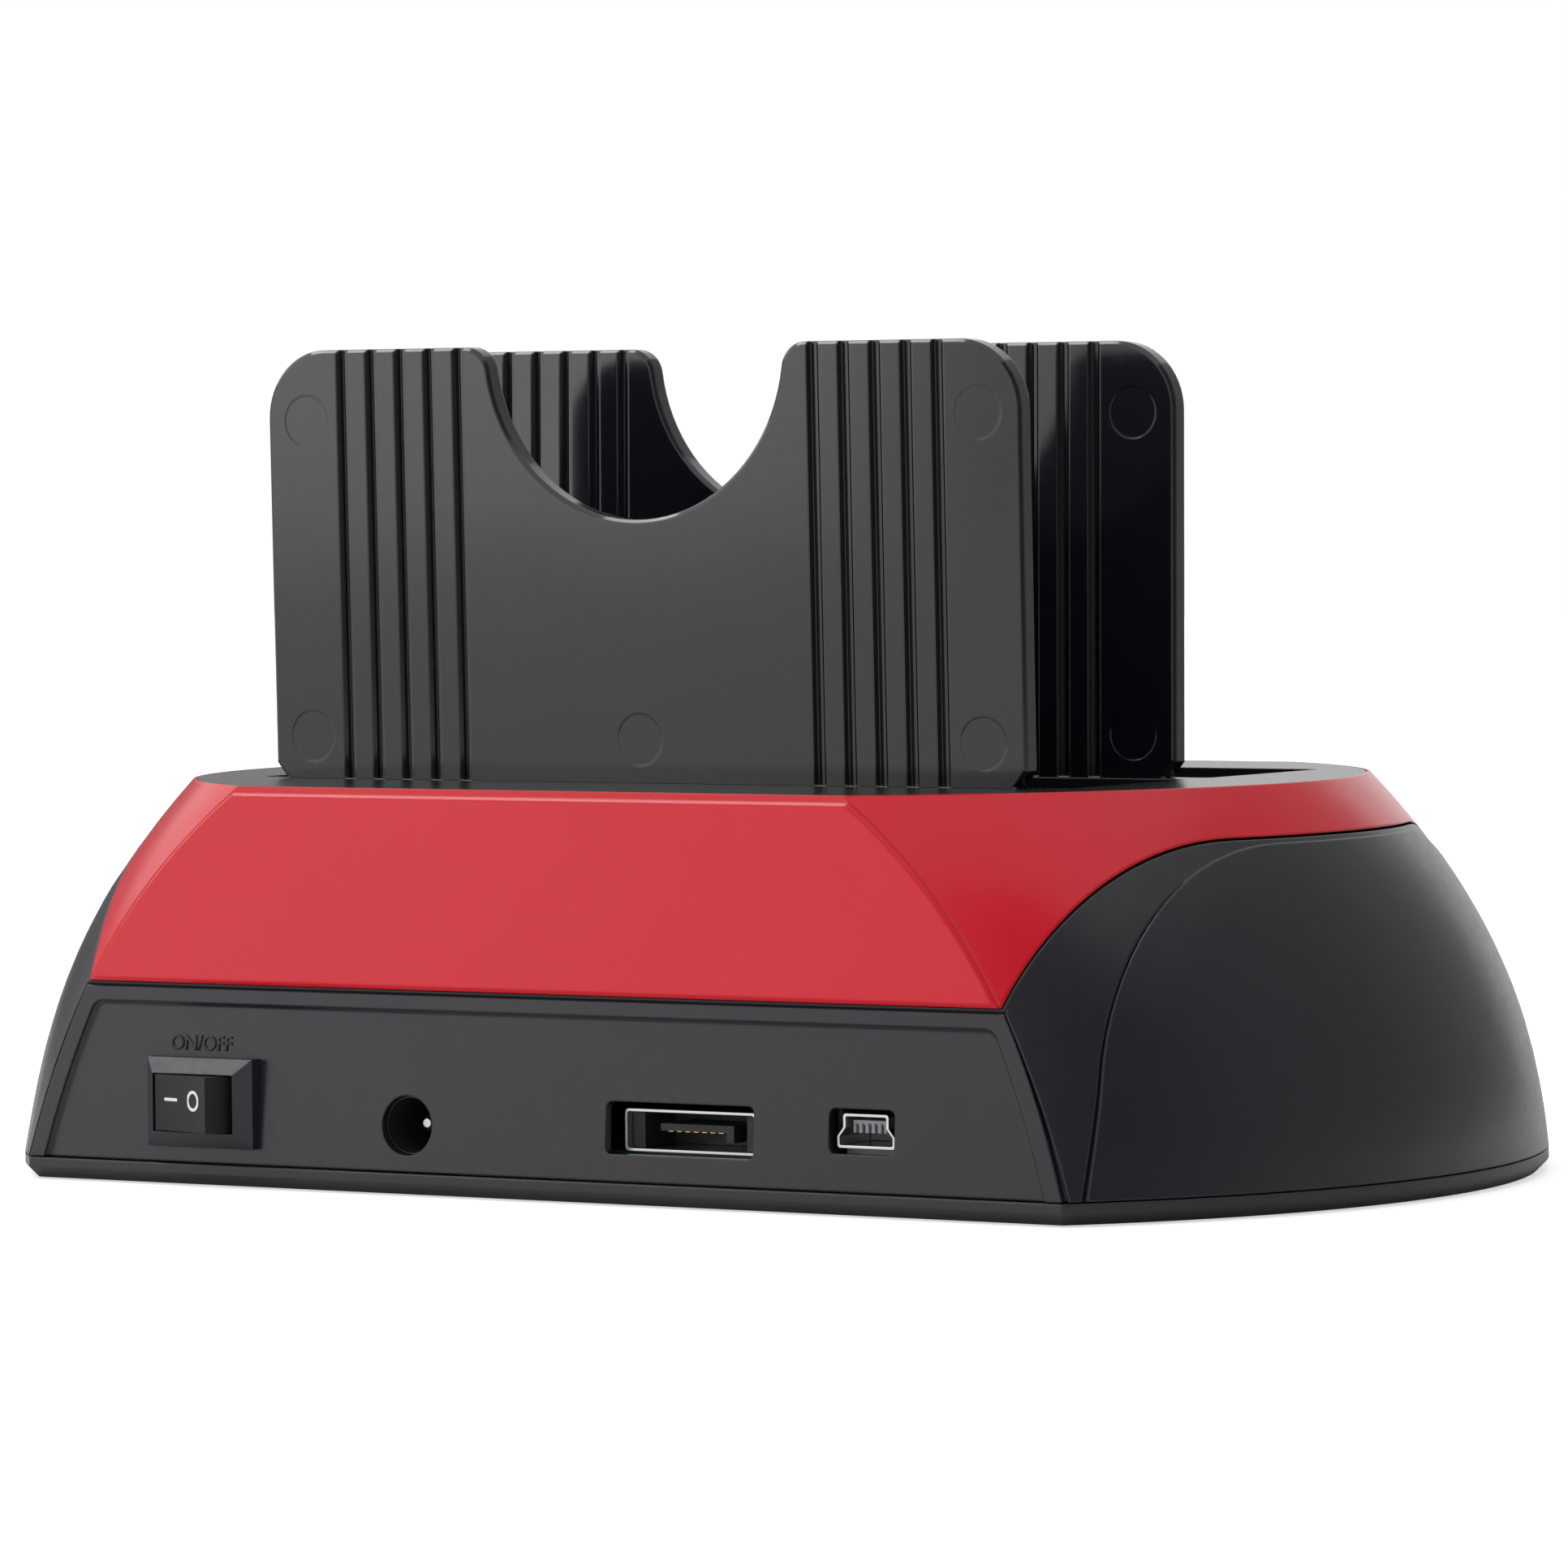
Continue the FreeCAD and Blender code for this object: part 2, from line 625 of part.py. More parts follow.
def make_base_tray():
    plate = slab(TRAY_TOP, 0.0, FOOT_PROUD, TRAY_TOP, True)
    edge = [e for e in plate.Edges if max(v.Z for v in e.Vertexes) < FOOT_PROUD + 1e-3]
    tray = plate.makeChamfer(TRAY_EDGE, edge).cut(slab(TRAY_TOP, WALL, TRAY_FLOOR_TOP, TRAY_TOP + 1))
    seat = WALL + LAP_CLEARANCE
    lip = slab(TRAY_LIP_TOP, seat, TRAY_FLOOR_TOP - JOIN, TRAY_LIP_TOP)
    lip = lip.cut(slab(TRAY_LIP_TOP, seat + LAP_WALL, 0, 2 * TRAY_LIP_TOP))
    room = JACK_WIDTH / 2 + 2 * BOARD_EDGE_GAP
    lip = lip.cut(box(JACK_X - room, JACK_X + room, jack_rear_y(), BASE_HALF_DEPTH, TRAY_FLOOR_TOP, JACK_Z))
    high = BOARD_TOP - BOARD_THICK - TRAY_FLOOR_TOP + JOIN
    standoffs = [cylinder(x, y, TRAY_FLOOR_TOP - JOIN, STANDOFF_R, high) for x, y in board_screw_places()]
    tray = fuse([tray, lip] + standoffs)
    holes = []
    for x, y in board_screw_places():
        holes.append(cylinder(x, y, TRAY_FLOOR_TOP - 2 * JOIN, BOARD_SCREW_R + FIT, BOARD_TOP))
    for x, y in boss_places():
        holes.append(cylinder(x, y, -1, CASE_SCREW_R + SCREW_HOLE_GAP, 10))
        sink = 1 + FOOT_PROUD + CASE_SCREW_HEAD
        holes.append(cylinder(x, y, -1, CASE_SCREW_HEAD_R + SCREW_HOLE_GAP, sink))
    for x, y in foot_places():
        holes.append(cylinder(x, y, -1, FOOT_RADIUS + FOOT_RECESS_GAP, 1 + FOOT_THICK))
    return solids_only(cut(tray, holes))


def foot_places():
    x = BASE_CORNER_X - FOOT_IN_X
    y = BASE_HALF_DEPTH - FOOT_IN_Y
    return [(sx * x, sy * y) for sx in (-1, 1) for sy in (-1, 1)]


def make_rubber_feet():
    feet = []
    for x, y in foot_places():
        foot = cylinder(x, y, 0, FOOT_RADIUS, FOOT_THICK)
        lower = [e for e in foot.Edges if e.BoundBox.ZMax < 0.01]
        feet.append(foot.makeChamfer(FOOT_EDGE, lower))
    return Part.makeCompound(feet)


# ================================================================ deck, bays and back plates
def bay_front_y(plate_y):
    return plate_y - PLATE_THICK - BAY_DEPTH


def bay_opening(plate_y, z0, z1, grow=0.0):
    y0 = bay_front_y(plate_y) - grow
    y1 = plate_y - PLATE_THICK + grow
    half = BAY_HALF_WIDTH + grow
    block = box(-half, half, y0, y1, z0, z1)
    return block.makeFillet(BAY_CORNER_R + grow, edges_along(block, Vector(0, 0, 1), lambda p: True))


def tongue_pocket(plate_y, z0, z1):
    half = TONGUE_HALF + TONGUE_SIDE_PLAY
    y0 = plate_y - TONGUE_THICK - TONGUE_CLEARANCE
    return box(-half, half, y0, plate_y + TONGUE_CLEARANCE, z0, z1)


def pocket_bottom_z():
    return PLATE_FOOT_Z - TONGUE_LENGTH - FIT


def pocket_back_y(plate_y):
    return plate_y + TONGUE_CLEARANCE + POCKET_WALL


def well_block(plate_y, grow=0.0):
    """Outside of one bay well."""
    z0 = WELL_FLOOR_TOP - WELL_FLOOR_THICK
    half = BAY_HALF_WIDTH + WELL_WALL + grow
    front = bay_front_y(plate_y) - WELL_FRONT_WALL - grow
    return box(-half, half, front, plate_y - PLATE_THICK + WELL_WALL + grow, z0, DECK_BOTTOM)


def board_edge_y():
    """Front and rear edges of the board, inside the tray's lip."""
    return half_depth(TRAY_LIP_TOP) - WALL - LAP_CLEARANCE - LAP_WALL - BOARD_EDGE_GAP


def rear_strip_y():
    """Middle of the strip between the rear pocket and the board's rear edge."""
    return (pocket_back_y(PLATE_REAR_Y) + board_edge_y()) / 2


def front_strip_y():
    """Middle of the strip between the front bay and the board's front edge."""
    return (bay_front_y(PLATE_FRONT_REAR_Y) - WELL_FRONT_WALL - board_edge_y()) / 2


def boss_places():
    rear = [(side * REAR_BOSS_X, rear_strip_y()) for side in (-1, 1)]
    return rear + [(side * FRONT_BOSS_X, front_strip_y()) for side in (-1, 1)]


def make_top_deck():
    inner = envelope(DECK_BOTTOM, TOP_Z, WALL - LAP_CLEARANCE + DECK_CLEARANCE)
    flange = envelope(TOP_Z - DECK_FLANGE + FIT, TOP_Z, RIM_EDGE + DECK_FLANGE_GAP)
    deck = inner.fuse(flange)
    for x, y in boss_places():
        deck = deck.fuse(cylinder(x, y, TRAY_FLOOR_TOP + FIT, BOSS_R, DECK_BOTTOM - TRAY_FLOOR_TOP))
    tools = []
    for plate_y in (PLATE_REAR_Y, PLATE_FRONT_REAR_Y):
        tools.append(bay_opening(plate_y, DECK_BOTTOM - 1, TOP_Z + 1))
        tools.append(tongue_pocket(plate_y, DECK_BOTTOM - 1, TOP_Z + 1))
    for x, y in boss_places():
        tools.append(cylinder(x, y, 0, BOSS_HOLE_R, TRAY_FLOOR_TOP + BOSS_HOLE_DEPTH))
    return solids_only(cut(deck.removeSplitter(), tools))


def make_bay_well(plate_y):
    """Guide box under one bay, with the pocket that holds the back plate's tongue."""
    rear = plate_y - PLATE_THICK
    pocket_half = TONGUE_HALF + TONGUE_SIDE_PLAY + WELL_WALL
    floor = pocket_bottom_z() - POCKET_FLOOR
    pocket = box(-pocket_half, pocket_half, rear, pocket_back_y(plate_y), floor, DECK_BOTTOM)
    well = fuse([well_block(plate_y), pocket])
    inside = bay_opening(plate_y, WELL_FLOOR_TOP, DECK_BOTTOM + 1)
    socket_y = rear - SATA_FROM_PLATE
    half = SATA_LENGTH / 2 + SATA_CUTOUT_CLEARANCE
    thick = SATA_THICK / 2 + SATA_CUTOUT_CLEARANCE
    socket = box(SATA_X - half, SATA_X + half, socket_y - thick, socket_y + thick, 0, WELL_FLOOR_TOP + 1)
    room = tongue_pocket(plate_y, pocket_bottom_z(), DECK_BOTTOM + 1)
    return solids_only(cut(well, [inside, socket, room]))


def make_back_plate(plate_y, lean, aside):
    """Ribbed plate with a finger notch, standing on a thin tongue that is loose in its pocket."""
    half = PLATE_WIDTH / 2
    z0 = PLATE_FOOT_Z
    front = plate_y - PLATE_THICK

    def p(x, z):
        return Vector(x, front, z)

    inset = SHOULDER_CHAMFER
    outline = Part.Wire([
        line(p(-TONGUE_HALF, z0), p(TONGUE_HALF, z0)),
        line(p(TONGUE_HALF, z0), p(half, z0 + inset)),
        line(p(half, z0 + inset), p(half, PLATE_TOP_Z)),
        line(p(half, PLATE_TOP_Z), p(NOTCH_RADIUS, PLATE_TOP_Z)),
        arc(p(NOTCH_RADIUS, PLATE_TOP_Z), p(0, PLATE_TOP_Z - NOTCH_RADIUS), p(-NOTCH_RADIUS, PLATE_TOP_Z)),
        line(p(-NOTCH_RADIUS, PLATE_TOP_Z), p(-half, PLATE_TOP_Z)),
        line(p(-half, PLATE_TOP_Z), p(-half, z0 + inset)),
        line(p(-half, z0 + inset), p(-TONGUE_HALF, z0)),
    ])
    plate = Part.Face(outline).extrude(Vector(0, PLATE_THICK, 0))
    outer = edges_along(plate, Vector(0, 1, 0), lambda c: c.z > PLATE_TOP_Z - 1 and abs(c.x) > half - 1)
    plate = plate.makeFillet(PLATE_CORNER_R, outer)
    near_notch = lambda c: abs(c.z - PLATE_TOP_Z) < 0.1 and abs(c.x) < NOTCH_RADIUS + 1
    lips = edges_along(plate, Vector(0, 1, 0), near_notch)
    plate = plate.makeFillet(NOTCH_LIP_R, lips)
    rims = [e for e in plate.Edges if e.BoundBox.YLength < 1e-6 and e.BoundBox.ZMax > z0 + 1]
    plate = plate.makeChamfer(PLATE_EDGE, rims)
    cuts = []
    for k in range(GROOVE_COUNT):
        for side in (-1, 1):
            cuts.append(plate_groove(side * (GROOVE_FIRST_X + k * GROOVE_PITCH), plate_y, z0))
    pads = [(side * PAD_X, z) for side in (-1, 1) for z in (PAD_HIGH_Z, PAD_LOW_Z)] + [(0, PAD_LOW_Z)]
    for x, z in pads:
        cuts.append(cylinder(x, plate_y - PAD_SINK, z, PAD_RADIUS, 1, Vector(0, 1, 0)))
    plate = cut(plate, cuts)
    tongue = box(-TONGUE_HALF, TONGUE_HALF, plate_y - TONGUE_THICK, plate_y, z0 - TONGUE_LENGTH, z0)
    plate = solids_only(fuse([plate, tongue]))
    plate.rotate(Vector(0, plate_y - TONGUE_THICK / 2, z0), Vector(1, 0, 0), -lean)
    plate.translate(Vector(aside, 0, 0))
    return plate


def plate_groove(x, plate_y, z0):
    """Square groove with a bevelled lip on the side away from the middle of the plate."""
    w = GROOVE_WIDTH / 2
    out = 1 if x > 0 else -1
    deep = plate_y - GROOVE_DEPTH
    top = plate_y + 1
    points = [(x - out * w, deep), (x + out * w, deep), (x + out * w, plate_y - GROOVE_BEVEL),
              (x + out * (w + GROOVE_BEVEL), plate_y), (x + out * (w + GROOVE_BEVEL), top), (x - out * w, top)]
    corners = [Vector(px, py, z0 - 1) for px, py in points]
    wire = Part.makePolygon(corners + [corners[0]])
    return Part.Face(wire).extrude(Vector(0, 0, PLATE_TOP_Z - z0 + 2))


# ================================================================ board and its parts
def board_screw_places():
    x = BAY_HALF_WIDTH + WELL_WALL + STANDOFF_GAP + STANDOFF_R
    return [(sx * x, sy * STANDOFF_Y) for sx in (-1, 1) for sy in (-1, 1)]


def make_main_board():
    half = max(x for x, _ in board_screw_places()) + BOARD_MARGIN
    edge = board_edge_y()
    board = box(-half, half, -edge, edge, BOARD_TOP - BOARD_THICK, BOARD_TOP)
    board = board.makeFillet(BOARD_CORNER_R, edges_along(board, Vector(0, 0, 1), lambda p: True))
    tall = 2 * BOARD_TOP
    tools = [cylinder(x, y, 0, BOSS_R + BOSS_CLEARANCE, tall) for x, y in boss_places()]
    tools += [cylinder(x, y, 0, BOARD_SCREW_R + SCREW_HOLE_GAP, tall) for x, y in board_screw_places()]
    jack = (JACK_X, JACK_WIDTH, jack_rear_y())
    switch = (SWITCH_X, SWITCH_BODY_LENGTH, switch_back_y())
    for x, width, rear in (jack, switch):
        room = width / 2 + BOARD_NOTCH_GAP
        tools.append(box(x - room, x + room, rear - BOARD_NOTCH_GAP, BASE_HALF_DEPTH, 0, tall))
    return solids_only(cut(board, tools))


def make_sata_socket(plate_y):
    y = plate_y - PLATE_THICK - SATA_FROM_PLATE
    x0 = SATA_X - SATA_LENGTH / 2
    body = box(x0, x0 + SATA_LENGTH, y - SATA_THICK / 2, y + SATA_THICK / 2, BOARD_TOP, SATA_TOP)
    body = body.makeFillet(0.6, edges_along(body, Vector(0, 0, 1), lambda p: True))
    tools = []
    for start, length, key in sata_cavities():
        z = SATA_TOP - SATA_CAVITY_DEPTH
        half = SATA_CAVITY_WIDTH / 2
        tools.append(box(start, start + length, y - half, y + half, z, SATA_TOP + 1))
        tools.append(box(key, key + 1.1, y - SATA_CAVITY_WIDTH, y, z, SATA_TOP + 1))
    socket = cut(body, tools)
    return solids_only(socket)


def sata_cavities():
    """Start, length and key place of the power and data cavities."""
    x0 = SATA_X - SATA_LENGTH / 2 + 3.6
    data = x0 + SATA_POWER_LENGTH + 3.4
    return [(x0, SATA_POWER_LENGTH, x0), (data, SATA_DATA_LENGTH, data + SATA_DATA_LENGTH - 1.1)]


def make_sata_contacts(plate_y):
    y = plate_y - PLATE_THICK - SATA_FROM_PLATE + SATA_CAVITY_WIDTH / 2
    blades = []
    for (start, length, _), count in zip(sata_cavities(), (15, 7)):
        first = start + (length - (count - 1) * SATA_PITCH) / 2
        for k in range(count):
            x = first + k * SATA_PITCH
            blades.append(box(x - 0.3, x + 0.3, y - 0.35, y, SATA_TOP - SATA_CAVITY_DEPTH, SATA_TOP - 0.8))
    return Part.makeCompound(blades)


def make_board_screws():
    screws = []
    for x, y in board_screw_places():
        length = BOARD_TOP - TRAY_FLOOR_TOP + 2 * JOIN
        shank = cylinder(x, y, TRAY_FLOOR_TOP - 2 * JOIN + 0.1, BOARD_SCREW_R, length)
        head = cylinder(x, y, BOARD_TOP, BOARD_SCREW_HEAD_R, BOARD_SCREW_HEAD)
        screws.append(cross_recess(fuse([shank, head]), x, y, BOARD_TOP + BOARD_SCREW_HEAD, -1))
    return Part.makeCompound(screws)


def make_case_screws():
    screws = []
    low = FOOT_PROUD / 2
    for x, y in boss_places():
        head = cylinder(x, y, low, CASE_SCREW_HEAD_R, FOOT_PROUD + CASE_SCREW_HEAD - low)
        shank = cylinder(x, y, low, CASE_SCREW_R - FIT, CASE_SCREW_LENGTH)
        screws.append(cross_recess(fuse([head, shank]), x, y, low, 1))
    return Part.makeCompound(screws)


def cross_recess(screw, x, y, z, way):
    """Cross slot cut into a head; way is +1 when the head faces down."""
    length, width, deep = SCREW_SLOT
    z0, z1 = (z - 1, z + deep) if way > 0 else (z - deep, z + 1)
    a, b = length / 2, width / 2
    return cut(screw, [box(x - a, x + a, y - b, y + b, z0, z1), box(x - b, x + b, y - a, y + a, z0, z1)])


def on_board(x, y, size):
    """Block of a given size standing on the board."""
    length, width, height = size
    return box(x - length / 2, x + length / 2, y - width / 2, y + width / 2, BOARD_TOP, BOARD_TOP + height)


def make_bridge_chip():
    return on_board(0, rear_strip_y(), BRIDGE_CHIP)


def make_support_chips():
    places = [(side * FRONT_CHIP_X, front_strip_y()) for side in (-1, 1)]
    places.append((REAR_CHIP_X, rear_strip_y()))
    return Part.makeCompound([on_board(x, y, SUPPORT_CHIP) for x, y in places])


def make_crystal():
    can = on_board(CRYSTAL_X, front_strip_y(), CRYSTAL)
    return can.makeFillet(CRYSTAL_CORNER_R, edges_along(can, Vector(0, 0, 1), lambda p: True))


def make_capacitors():
    places = [(x, rear_strip_y()) for x in REAR_CAPACITOR_XS] + [(FRONT_CAPACITOR_X, front_strip_y())]
    cans = []
    for x, y in places:
        can = cylinder(x, y, BOARD_TOP, CAPACITOR_R, CAPACITOR_HEIGHT)
        top = [e for e in can.Edges if e.BoundBox.ZMin > BOARD_TOP + CAPACITOR_HEIGHT - 0.01]
        cans.append(can.makeChamfer(CAPACITOR_EDGE, top))
    return Part.makeCompound(cans)


def make_inductor():
    coil = cylinder(INDUCTOR_X, front_strip_y(), BOARD_TOP, INDUCTOR_R, INDUCTOR_HEIGHT)
    return fuse([coil, on_board(INDUCTOR_X, front_strip_y(), INDUCTOR_BASE)])


# ================================================================ rear ports
def switch_seat_y():
    """Back of the switch frame's rim at the switch's middle."""
    return panel_floor_y(SWITCH_Z) + FIT


def switch_pivot():
    return Vector(SWITCH_X, switch_seat_y() + SWITCH_RIM + SWITCH_RISE - ROCKER_DROP, SWITCH_Z)


def switch_back_y():
    return panel_floor_y(SWITCH_Z) - SWITCH_BODY_DEPTH


def make_switch_frame():
    y = switch_seat_y()
    rim = centred_box(SWITCH_X, SWITCH_Z, SWITCH_LENGTH, SWITCH_HEIGHT, y - SWITCH_RIM, y + SWITCH_RIM)
    deep = 2 * SWITCH_RIM + SWITCH_BODY_DEPTH
    behind = box(0, 2 * SWITCH_X, -deep, FIT - PANEL_DEPTH, -SWITCH_Z, 3 * SWITCH_Z)
    rim = rim.cut(on_face(behind))
    wires = []
    for inset, lift in ((0.0, 0.0), (SWITCH_BEVEL, SWITCH_RISE)):
        hx = SWITCH_LENGTH / 2 - inset
        hz = SWITCH_HEIGHT / 2 - inset
        yy = y + SWITCH_RIM + lift
        signs = ((-1, -1), (1, -1), (1, 1), (-1, 1))
        corners = [Vector(SWITCH_X + sx * hx, yy, SWITCH_Z + sz * hz) for sx, sz in signs]
        wires.append(Part.makePolygon(corners + [corners[0]]))
    bevel = Part.makeLoft(wires, True, True)
    body = centred_box(SWITCH_X, SWITCH_Z, SWITCH_BODY_LENGTH, SWITCH_BODY_HEIGHT, switch_back_y(), y + 0.5)
    frame = fuse([rim, bevel, body])
    window = centred_box(SWITCH_X, SWITCH_Z, SWITCH_LENGTH - 2 * SWITCH_BEVEL - 0.1, SWITCH_HEIGHT - 2 * SWITCH_BEVEL - 0.1,
                         switch_back_y() + SWITCH_WALL + 0.6, y + 10)
    pivot = switch_pivot()
    bore_z = SWITCH_Z - ROCKER_HEIGHT / 2 - 0.7
    bore_r = ROCKER_PIN_R + ROCKER_PIN_CLEARANCE
    bore = cylinder(pivot.x, pivot.y, bore_z, bore_r, ROCKER_HEIGHT + 1.4)
    return solids_only(cut(frame, [window, bore]))


def make_switch_rocker():
    """Rocker with a slightly hollow face and bulging ends, resting with its +X end pressed."""
    pivot = switch_pivot()
    z0 = SWITCH_Z - ROCKER_HEIGHT / 2

    def p(x, y):
        return Vector(pivot.x + x, pivot.y + y, z0)

    right = [p(ROCKER_HALF, ROCKER_FACE), p(ROCKER_WAIST - 0.12, ROCKER_FACE * 0.5), p(ROCKER_WAIST, 0)]
    left = [p(-ROCKER_HALF, ROCKER_FACE), p(0.12 - ROCKER_WAIST, ROCKER_FACE * 0.5), p(-ROCKER_WAIST, 0)]
    wire = Part.Wire([
        arc(left[0], p(0, ROCKER_FACE - ROCKER_DISH), right[0]),
        arc(*right),
        line(right[2], p(1.4, -ROCKER_BACK)),
        line(p(1.4, -ROCKER_BACK), p(0.7, -ROCKER_BACK - 1.6)),
        line(p(0.7, -ROCKER_BACK - 1.6), p(-0.7, -ROCKER_BACK - 1.6)),
        line(p(-0.7, -ROCKER_BACK - 1.6), p(-1.4, -ROCKER_BACK)),
        line(p(-1.4, -ROCKER_BACK), left[2]),
        arc(left[2], left[1], left[0]),
    ])
    rocker = Part.Face(wire).extrude(Vector(0, 0, ROCKER_HEIGHT))
    pin = cylinder(pivot.x, pivot.y, z0 - 0.6, ROCKER_PIN_R, ROCKER_HEIGHT + 1.2)
    rocker = fuse([rocker, pin])
    rocker.rotate(pivot, Vector(0, 0, 1), -ROCKER_TILT)
    return solids_only(rocker)


def make_switch_terminals():
    y = switch_back_y()
    tabs = []
    for x in (-3.6, 3.6):
        tab = box(SWITCH_X + x - 0.4, SWITCH_X + x + 0.4, y - 5.5, y, SWITCH_Z - 1.6, SWITCH_Z + 1.6)
        leg = box(SWITCH_X + x - 0.4, SWITCH_X + x + 0.4, y - 5.5, y - 3.5, BOARD_TOP, SWITCH_Z)
        tabs.append(fuse([tab, leg]))
    return Part.makeCompound(tabs)


def jack_front_y():
    return wall_inner_y(JACK_Z + JACK_HEIGHT / 2) - SEAT_GAP


def jack_rear_y():
    return jack_front_y() - JACK_LENGTH


def make_dc_jack_body():
    body = rounded_block(JACK_X, JACK_Z, JACK_WIDTH, JACK_HEIGHT, jack_rear_y(), jack_front_y(), 0.5)
    out = Vector(0, 1, 0)
    collar_y = jack_front_y() - SEAT_GAP
    collar = cylinder(JACK_X, collar_y, JACK_Z, JACK_HOLE_R - SEAT_GAP, JACK_COLLAR + SEAT_GAP, out)
    bore_y = jack_rear_y() + JACK_BORE_FLOOR
    bore = cylinder(JACK_X, bore_y, JACK_Z, JACK_BORE_R, 2 * JACK_LENGTH, out)
    return solids_only(cut(fuse([body, collar]), [bore]))


def make_dc_jack_pin():
    start = jack_rear_y() + JACK_BORE_FLOOR
    tip = panel_floor_y(JACK_Z) - JACK_PIN_SETBACK
    pin = cylinder(JACK_X, start, JACK_Z, JACK_PIN_R, tip - start, Vector(0, 1, 0))
    end = [e for e in pin.Edges if e.BoundBox.YMin > tip - 0.01]
    return pin.makeChamfer(0.5, end)


def make_dc_jack_spring():
    start = jack_rear_y() + JACK_BORE_FLOOR
    width, length, thick = JACK_SPRING
    low = JACK_Z + FIT - math.sqrt(JACK_BORE_R ** 2 - (width / 2) ** 2)
    return box(JACK_X - width / 2, JACK_X + width / 2, start, start + length, low, low + thick)


def metal_tube(x, z, width, height, y0, y1, radius):
    outer = rounded_block(x, z, width, height, y0, y1, radius)
    inner = rounded_block(x, z, width - 2 * SHEET, height - 2 * SHEET, y0 - 1, y1 + 1, radius - SHEET / 2)
    return outer.cut(inner)


def esata_front_y():
    return panel_floor_y(ESATA_Z) - ESATA_SETBACK


def make_esata_shell():
    front = esata_front_y()
    width, height = ESATA_SHELL
    z = ESATA_Z - ESATA_SHELL_DROP
    tube = metal_tube(ESATA_X, z, width, height, front - ESATA_LENGTH, front, ESATA_CORNER_R)
    legs = []
    for side in (-1, 1):
        x = ESATA_X + side * (width / 2 - SHEET / 2)
        legs.append(box(x - SHEET / 2, x + SHEET / 2, front - 10, front - 8, BOARD_TOP, z))
    return solids_only(fuse([tube] + legs))


def make_esata_block():
    """Insulator with the L-shaped tongue of the port."""
    front = esata_front_y()
    back = front - ESATA_LENGTH
    z = ESATA_Z - ESATA_SHELL_DROP
    inner_w = ESATA_SHELL[0] - 2 * (SHEET + INSERT_GAP)
    inner_h = ESATA_SHELL[1] - 2 * (SHEET + INSERT_GAP)
    x = ESATA_X - 0.3
    low = z + 0.35 - ESATA_TONGUE[1] / 2
    high = low + ESATA_TONGUE[1]
    half = ESATA_TONGUE[0] / 2
    block = centred_box(ESATA_X, z, inner_w, inner_h, back, front - 7.5)
    tongue = box(x - half, x + half, front - 8, front - 1.0, low, high)
    key = box(x - half, x - half + 1.0, front - 8, front - 1.0, low - 1.1, high)
    guides = []
    for side in (-1, 1):
        centre = ESATA_X + side * (inner_w / 2 - 0.8)
        guides.append(centred_box(centre, z, 1.6, inner_h, front - 8, front - 1.2))
    room = rounded_block(ESATA_X, z, inner_w, inner_h, back, front, ESATA_CORNER_R - SHEET / 2 - INSERT_GAP)
    return solids_only(fuse([block, tongue, key] + guides).common(room))


def make_esata_contacts():
    front = esata_front_y()
    z = ESATA_Z - ESATA_SHELL_DROP + 0.35 - ESATA_TONGUE[1] / 2
    blades = []
    for k in range(7):
        x = ESATA_X + 0.2 + (k - 3) * ESATA_PITCH
        blades.append(box(x - 0.3, x + 0.3, front - 7.4, front - 1.5, z - 0.12, z))
    return Part.makeCompound(blades)


def usb_outline(shrink, y):
    """Waisted outline of a mini-B port, wide at the bottom."""
    half_w = USB_SHELL[0] / 2 - shrink
    half_h = USB_SHELL[1] / 2 - shrink
    narrow = half_w - USB_NARROW
    waist = 0.35
    points = [(-narrow, half_h), (narrow, half_h), (narrow, waist), (half_w, -waist - 0.3),
              (half_w, -half_h), (-half_w, -half_h), (-half_w, -waist - 0.3), (-narrow, waist)]
    corners = [Vector(USB_X + x, y, USB_Z + z) for x, z in points]
    return Part.Face(Part.makePolygon(corners + [corners[0]]))


def usb_front_y():
    return panel_floor_y(USB_Z) - USB_SETBACK


def make_usb_shell():
    front = usb_front_y()
    outer = usb_outline(0.0, front - USB_LENGTH).extrude(Vector(0, USB_LENGTH, 0))
    outer = outer.makeFillet(0.35, edges_along(outer, Vector(0, 1, 0), lambda p: True))
    inner = usb_outline(SHEET, front - USB_LENGTH - 1).extrude(Vector(0, USB_LENGTH + 2, 0))
    inner = inner.makeFillet(0.2, edges_along(inner, Vector(0, 1, 0), lambda p: True))
    return solids_only(outer.cut(inner))


def make_usb_block():
    """Insulator whose tongue has five contact slots along its underside."""
    front = usb_front_y()
    block = usb_outline(SHEET + 0.06, front - USB_LENGTH).extrude(Vector(0, 2.0, 0))
    low = USB_Z + USB_TONGUE_LIFT - USB_TONGUE[1] / 2
    high = low + USB_TONGUE[1]
    half_t = USB_TONGUE[0] / 2
    tongue = box(USB_X - half_t, USB_X + half_t, front - USB_LENGTH + 1, front - 0.9, low, high)
    slots = []
    for x in usb_contact_xs():
        slots.append(box(x - 0.2, x + 0.2, front - 6.2, front, low - 1, high - 0.35))
    tongue = cut(tongue, slots)
    half = USB_SHELL[0] / 2 - 0.4
    under = USB_Z - USB_SHELL[1] / 2
    foot = box(USB_X - half, USB_X + half, front - USB_LENGTH - 0.6, front - 1.5, BOARD_TOP, under)
    back = box(USB_X - half, USB_X + half, front - USB_LENGTH - 0.6, front - USB_LENGTH, BOARD_TOP, USB_Z + 1)
    return solids_only(fuse([block, tongue, foot, back]))


def usb_contact_xs():
    return [USB_X + (k - 2) * USB_PITCH for k in range(5)]


